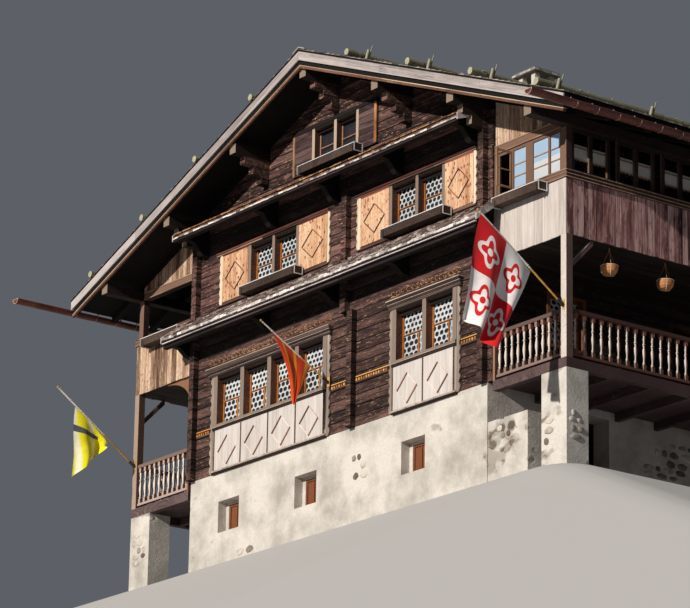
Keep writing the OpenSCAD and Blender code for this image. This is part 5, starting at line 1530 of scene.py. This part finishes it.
# chimney: rough edges of the slab, a second slab and a lead apron
b = Build(67)
cx, cy = 0.980, 4.360
for (z0, z1, h) in ((8.241, 8.262, 0.335),):
    b.box(cx - h, cx + h, cy - h, cy + h, z0, z1)
for k in range(4):
    a = k * math.pi / 2
    for i in range(6):
        t = -0.3 + i * 0.12
        px, py = cx + math.cos(a) * 0.352 - math.sin(a) * t, cy + math.sin(a) * 0.352 + math.cos(a) * t
        d = b.r.uniform(0.010, 0.022)
        b.box(px - 0.06 * abs(math.sin(a)) - d / 2 * abs(math.cos(a)), px + 0.055 * abs(math.sin(a)) + d / 2 * abs(math.cos(a)),
              py - 0.06 * abs(math.cos(a)) - d / 2 * abs(math.sin(a)), py + 0.055 * abs(math.cos(a)) + d / 2 * abs(math.sin(a)),
              8.184 + b.r.uniform(0, 0.008), 8.236 - b.r.uniform(0, 0.008))
zt = roof_z(cx)
b.done("chimney_slab_edges", [slab])
b = Build(68)
lead_m = metal("lead_apron", (84, 86, 88), (120, 122, 124), (158, 160, 160), rough=0.5)
for (xa, xb, ya, yb) in ((0.68, 1.28, 4.06, 4.0985), (0.68, 1.28, 4.6215, 4.66), (1.2415, 1.30, 4.06, 4.66), (0.66, 0.7185, 4.06, 4.66)):
    p = [(xa, ya, roof_z(xa) + 0.012), (xb, ya, roof_z(xb) + 0.012), (xb, yb, roof_z(xb) + 0.012), (xa, yb, roof_z(xa) + 0.012),
         (xa, ya, roof_z(xa) + 0.060), (xb, ya, roof_z(xb) + 0.060), (xb, yb, roof_z(xb) + 0.060), (xa, yb, roof_z(xa) + 0.060)]
    b.hexa(p)
b.done("chimney_apron", [lead_m])

# ---------------------------------------------------------------- stones that show through the plaster
def rock(b, c, sx, sy, sz, axis, n=7):
    """A flat-backed rounded stone on a wall face; axis is the way the face looks."""
    r = b.r
    rings = [(1.0, 0.0), (0.93, 0.45), (0.70, 0.80), (0.35, 0.98)]
    k = 10
    ph = r.uniform(0, 6.28)
    wob = [r.uniform(0.82, 1.12) for _ in range(k)]
    verts = []
    for (q, h) in rings:
        for i in range(k):
            a = ph + 2 * math.pi * i / k
            u, v = math.cos(a) * sx * q * wob[i], math.sin(a) * sz * q * wob[i]
            w = h * sy * r.uniform(0.85, 1.1) if h else -0.004
            verts.append((u, v, w))
    verts.append((0, 0, sy * 1.0))
    faces = [tuple(range(k))[::-1]]
    for j in range(3):
        faces += [(j * k + i, j * k + (i + 1) % k, (j + 1) * k + (i + 1) % k, (j + 1) * k + i) for i in range(k)]
    faces += [(3 * k + i, 3 * k + (i + 1) % k, 4 * k) for i in range(k)]
    out = []
    for (u, v, w) in verts:
        if axis == "-y":
            out.append((c[0] + u, c[1] - w, c[2] + v))
        elif axis == "+y":
            out.append((c[0] - u, c[1] + w, c[2] + v))
        elif axis == "+x":
            out.append((c[0] + w, c[1] + u, c[2] + v))
        else:
            out.append((c[0] - w, c[1] - u, c[2] + v))
    b.solid(out, faces)


def stones_on(b, axis, fix, a0, a1, z0, z1, share, seed, skip=()):
    """Courses of stones on one face; share is how much of it is bare."""
    r = random.Random(seed)
    patch = [(r.uniform(a0, a1), r.uniform(z0, z1), r.uniform(0.25, 0.60)) for _ in range(max(1, int((a1 - a0) * (z1 - z0) * share * 2.2)))]
    z = z0 + 0.06
    while z < z1 - 0.06:
        h = r.uniform(0.05, 0.09)
        a = a0 + r.uniform(0.02, 0.1)
        while a < a1 - 0.07:
            w = r.uniform(0.06, 0.16)
            ca, cz = a + w, z
            inside = any((ca - pa) ** 2 + ((cz - pz) * 1.5) ** 2 < pr * pr for pa, pz, pr in patch)
            free = not any(s0 - 0.12 < ca < s1 + 0.12 and q0 - 0.08 < cz < q1 + 0.08 for s0, s1, q0, q1 in skip)
            if inside and free and ca + w < a1 and r.random() < 0.86:
                c = {"-y": (ca, fix, cz), "+y": (ca, fix, cz), "+x": (fix, ca, cz), "-x": (fix, ca, cz)}[axis]
                rock(b, c, w * 0.92, r.uniform(0.012, 0.030), h * 0.92, axis)
            a += 2 * w + r.uniform(0.01, 0.04)
        z += 2 * h + 0.015


b = Build(71)
S = 0.0
stones_on(b, "+x", 6.990, 0.03, 0.52, -2.15, -0.22, 0.75, 81)
stones_on(b, "-y", 0.020, 6.30, 6.98, -2.15, -0.22, 0.25, 82)
stones_on(b, "-y", 0.020, 4.80, 5.90, -2.15, -0.80, 0.35, 83)
for y0, y1, sd in ((4.75, 5.25, 84), (9.48, 9.97, 85)):
    stones_on(b, "+x", 6.990, y0, y1, -2.15, -0.22, 0.5, sd)
for y0, y1, sd in ((0.03, 0.52, 86), (4.75, 5.25, 87), (9.48, 9.97, 88)):
    stones_on(b, "-x", -6.990, y0, y1, -2.15, -0.38, 0.5, sd)
stones_on(b, "-y", 0.020, -6.98, -6.30, -2.15, -0.38, 0.4, 89)
win = [(x - 0.40, x + 0.40, -1.30, -0.55) for x in (-3.42, -0.82, 2.58)]
stones_on(b, "-y", 0.0, -4.75, 4.75, -2.18, -0.05, 0.05, 90, win)
stones_on(b, "+y", 10.0, -4.75, 4.75, -2.18, -0.05, 0.18, 91, win)
stones_on(b, "+x", 4.780, 0.05, 9.95, -2.18, -0.25, 0.22, 92, [(1.9, 3.05, -2.2, -0.1)])
stones_on(b, "-x", -4.780, 0.05, 9.95, -2.18, -0.40, 0.22, 93)
b.done("bare_stones", [stone_m], smooth=50)
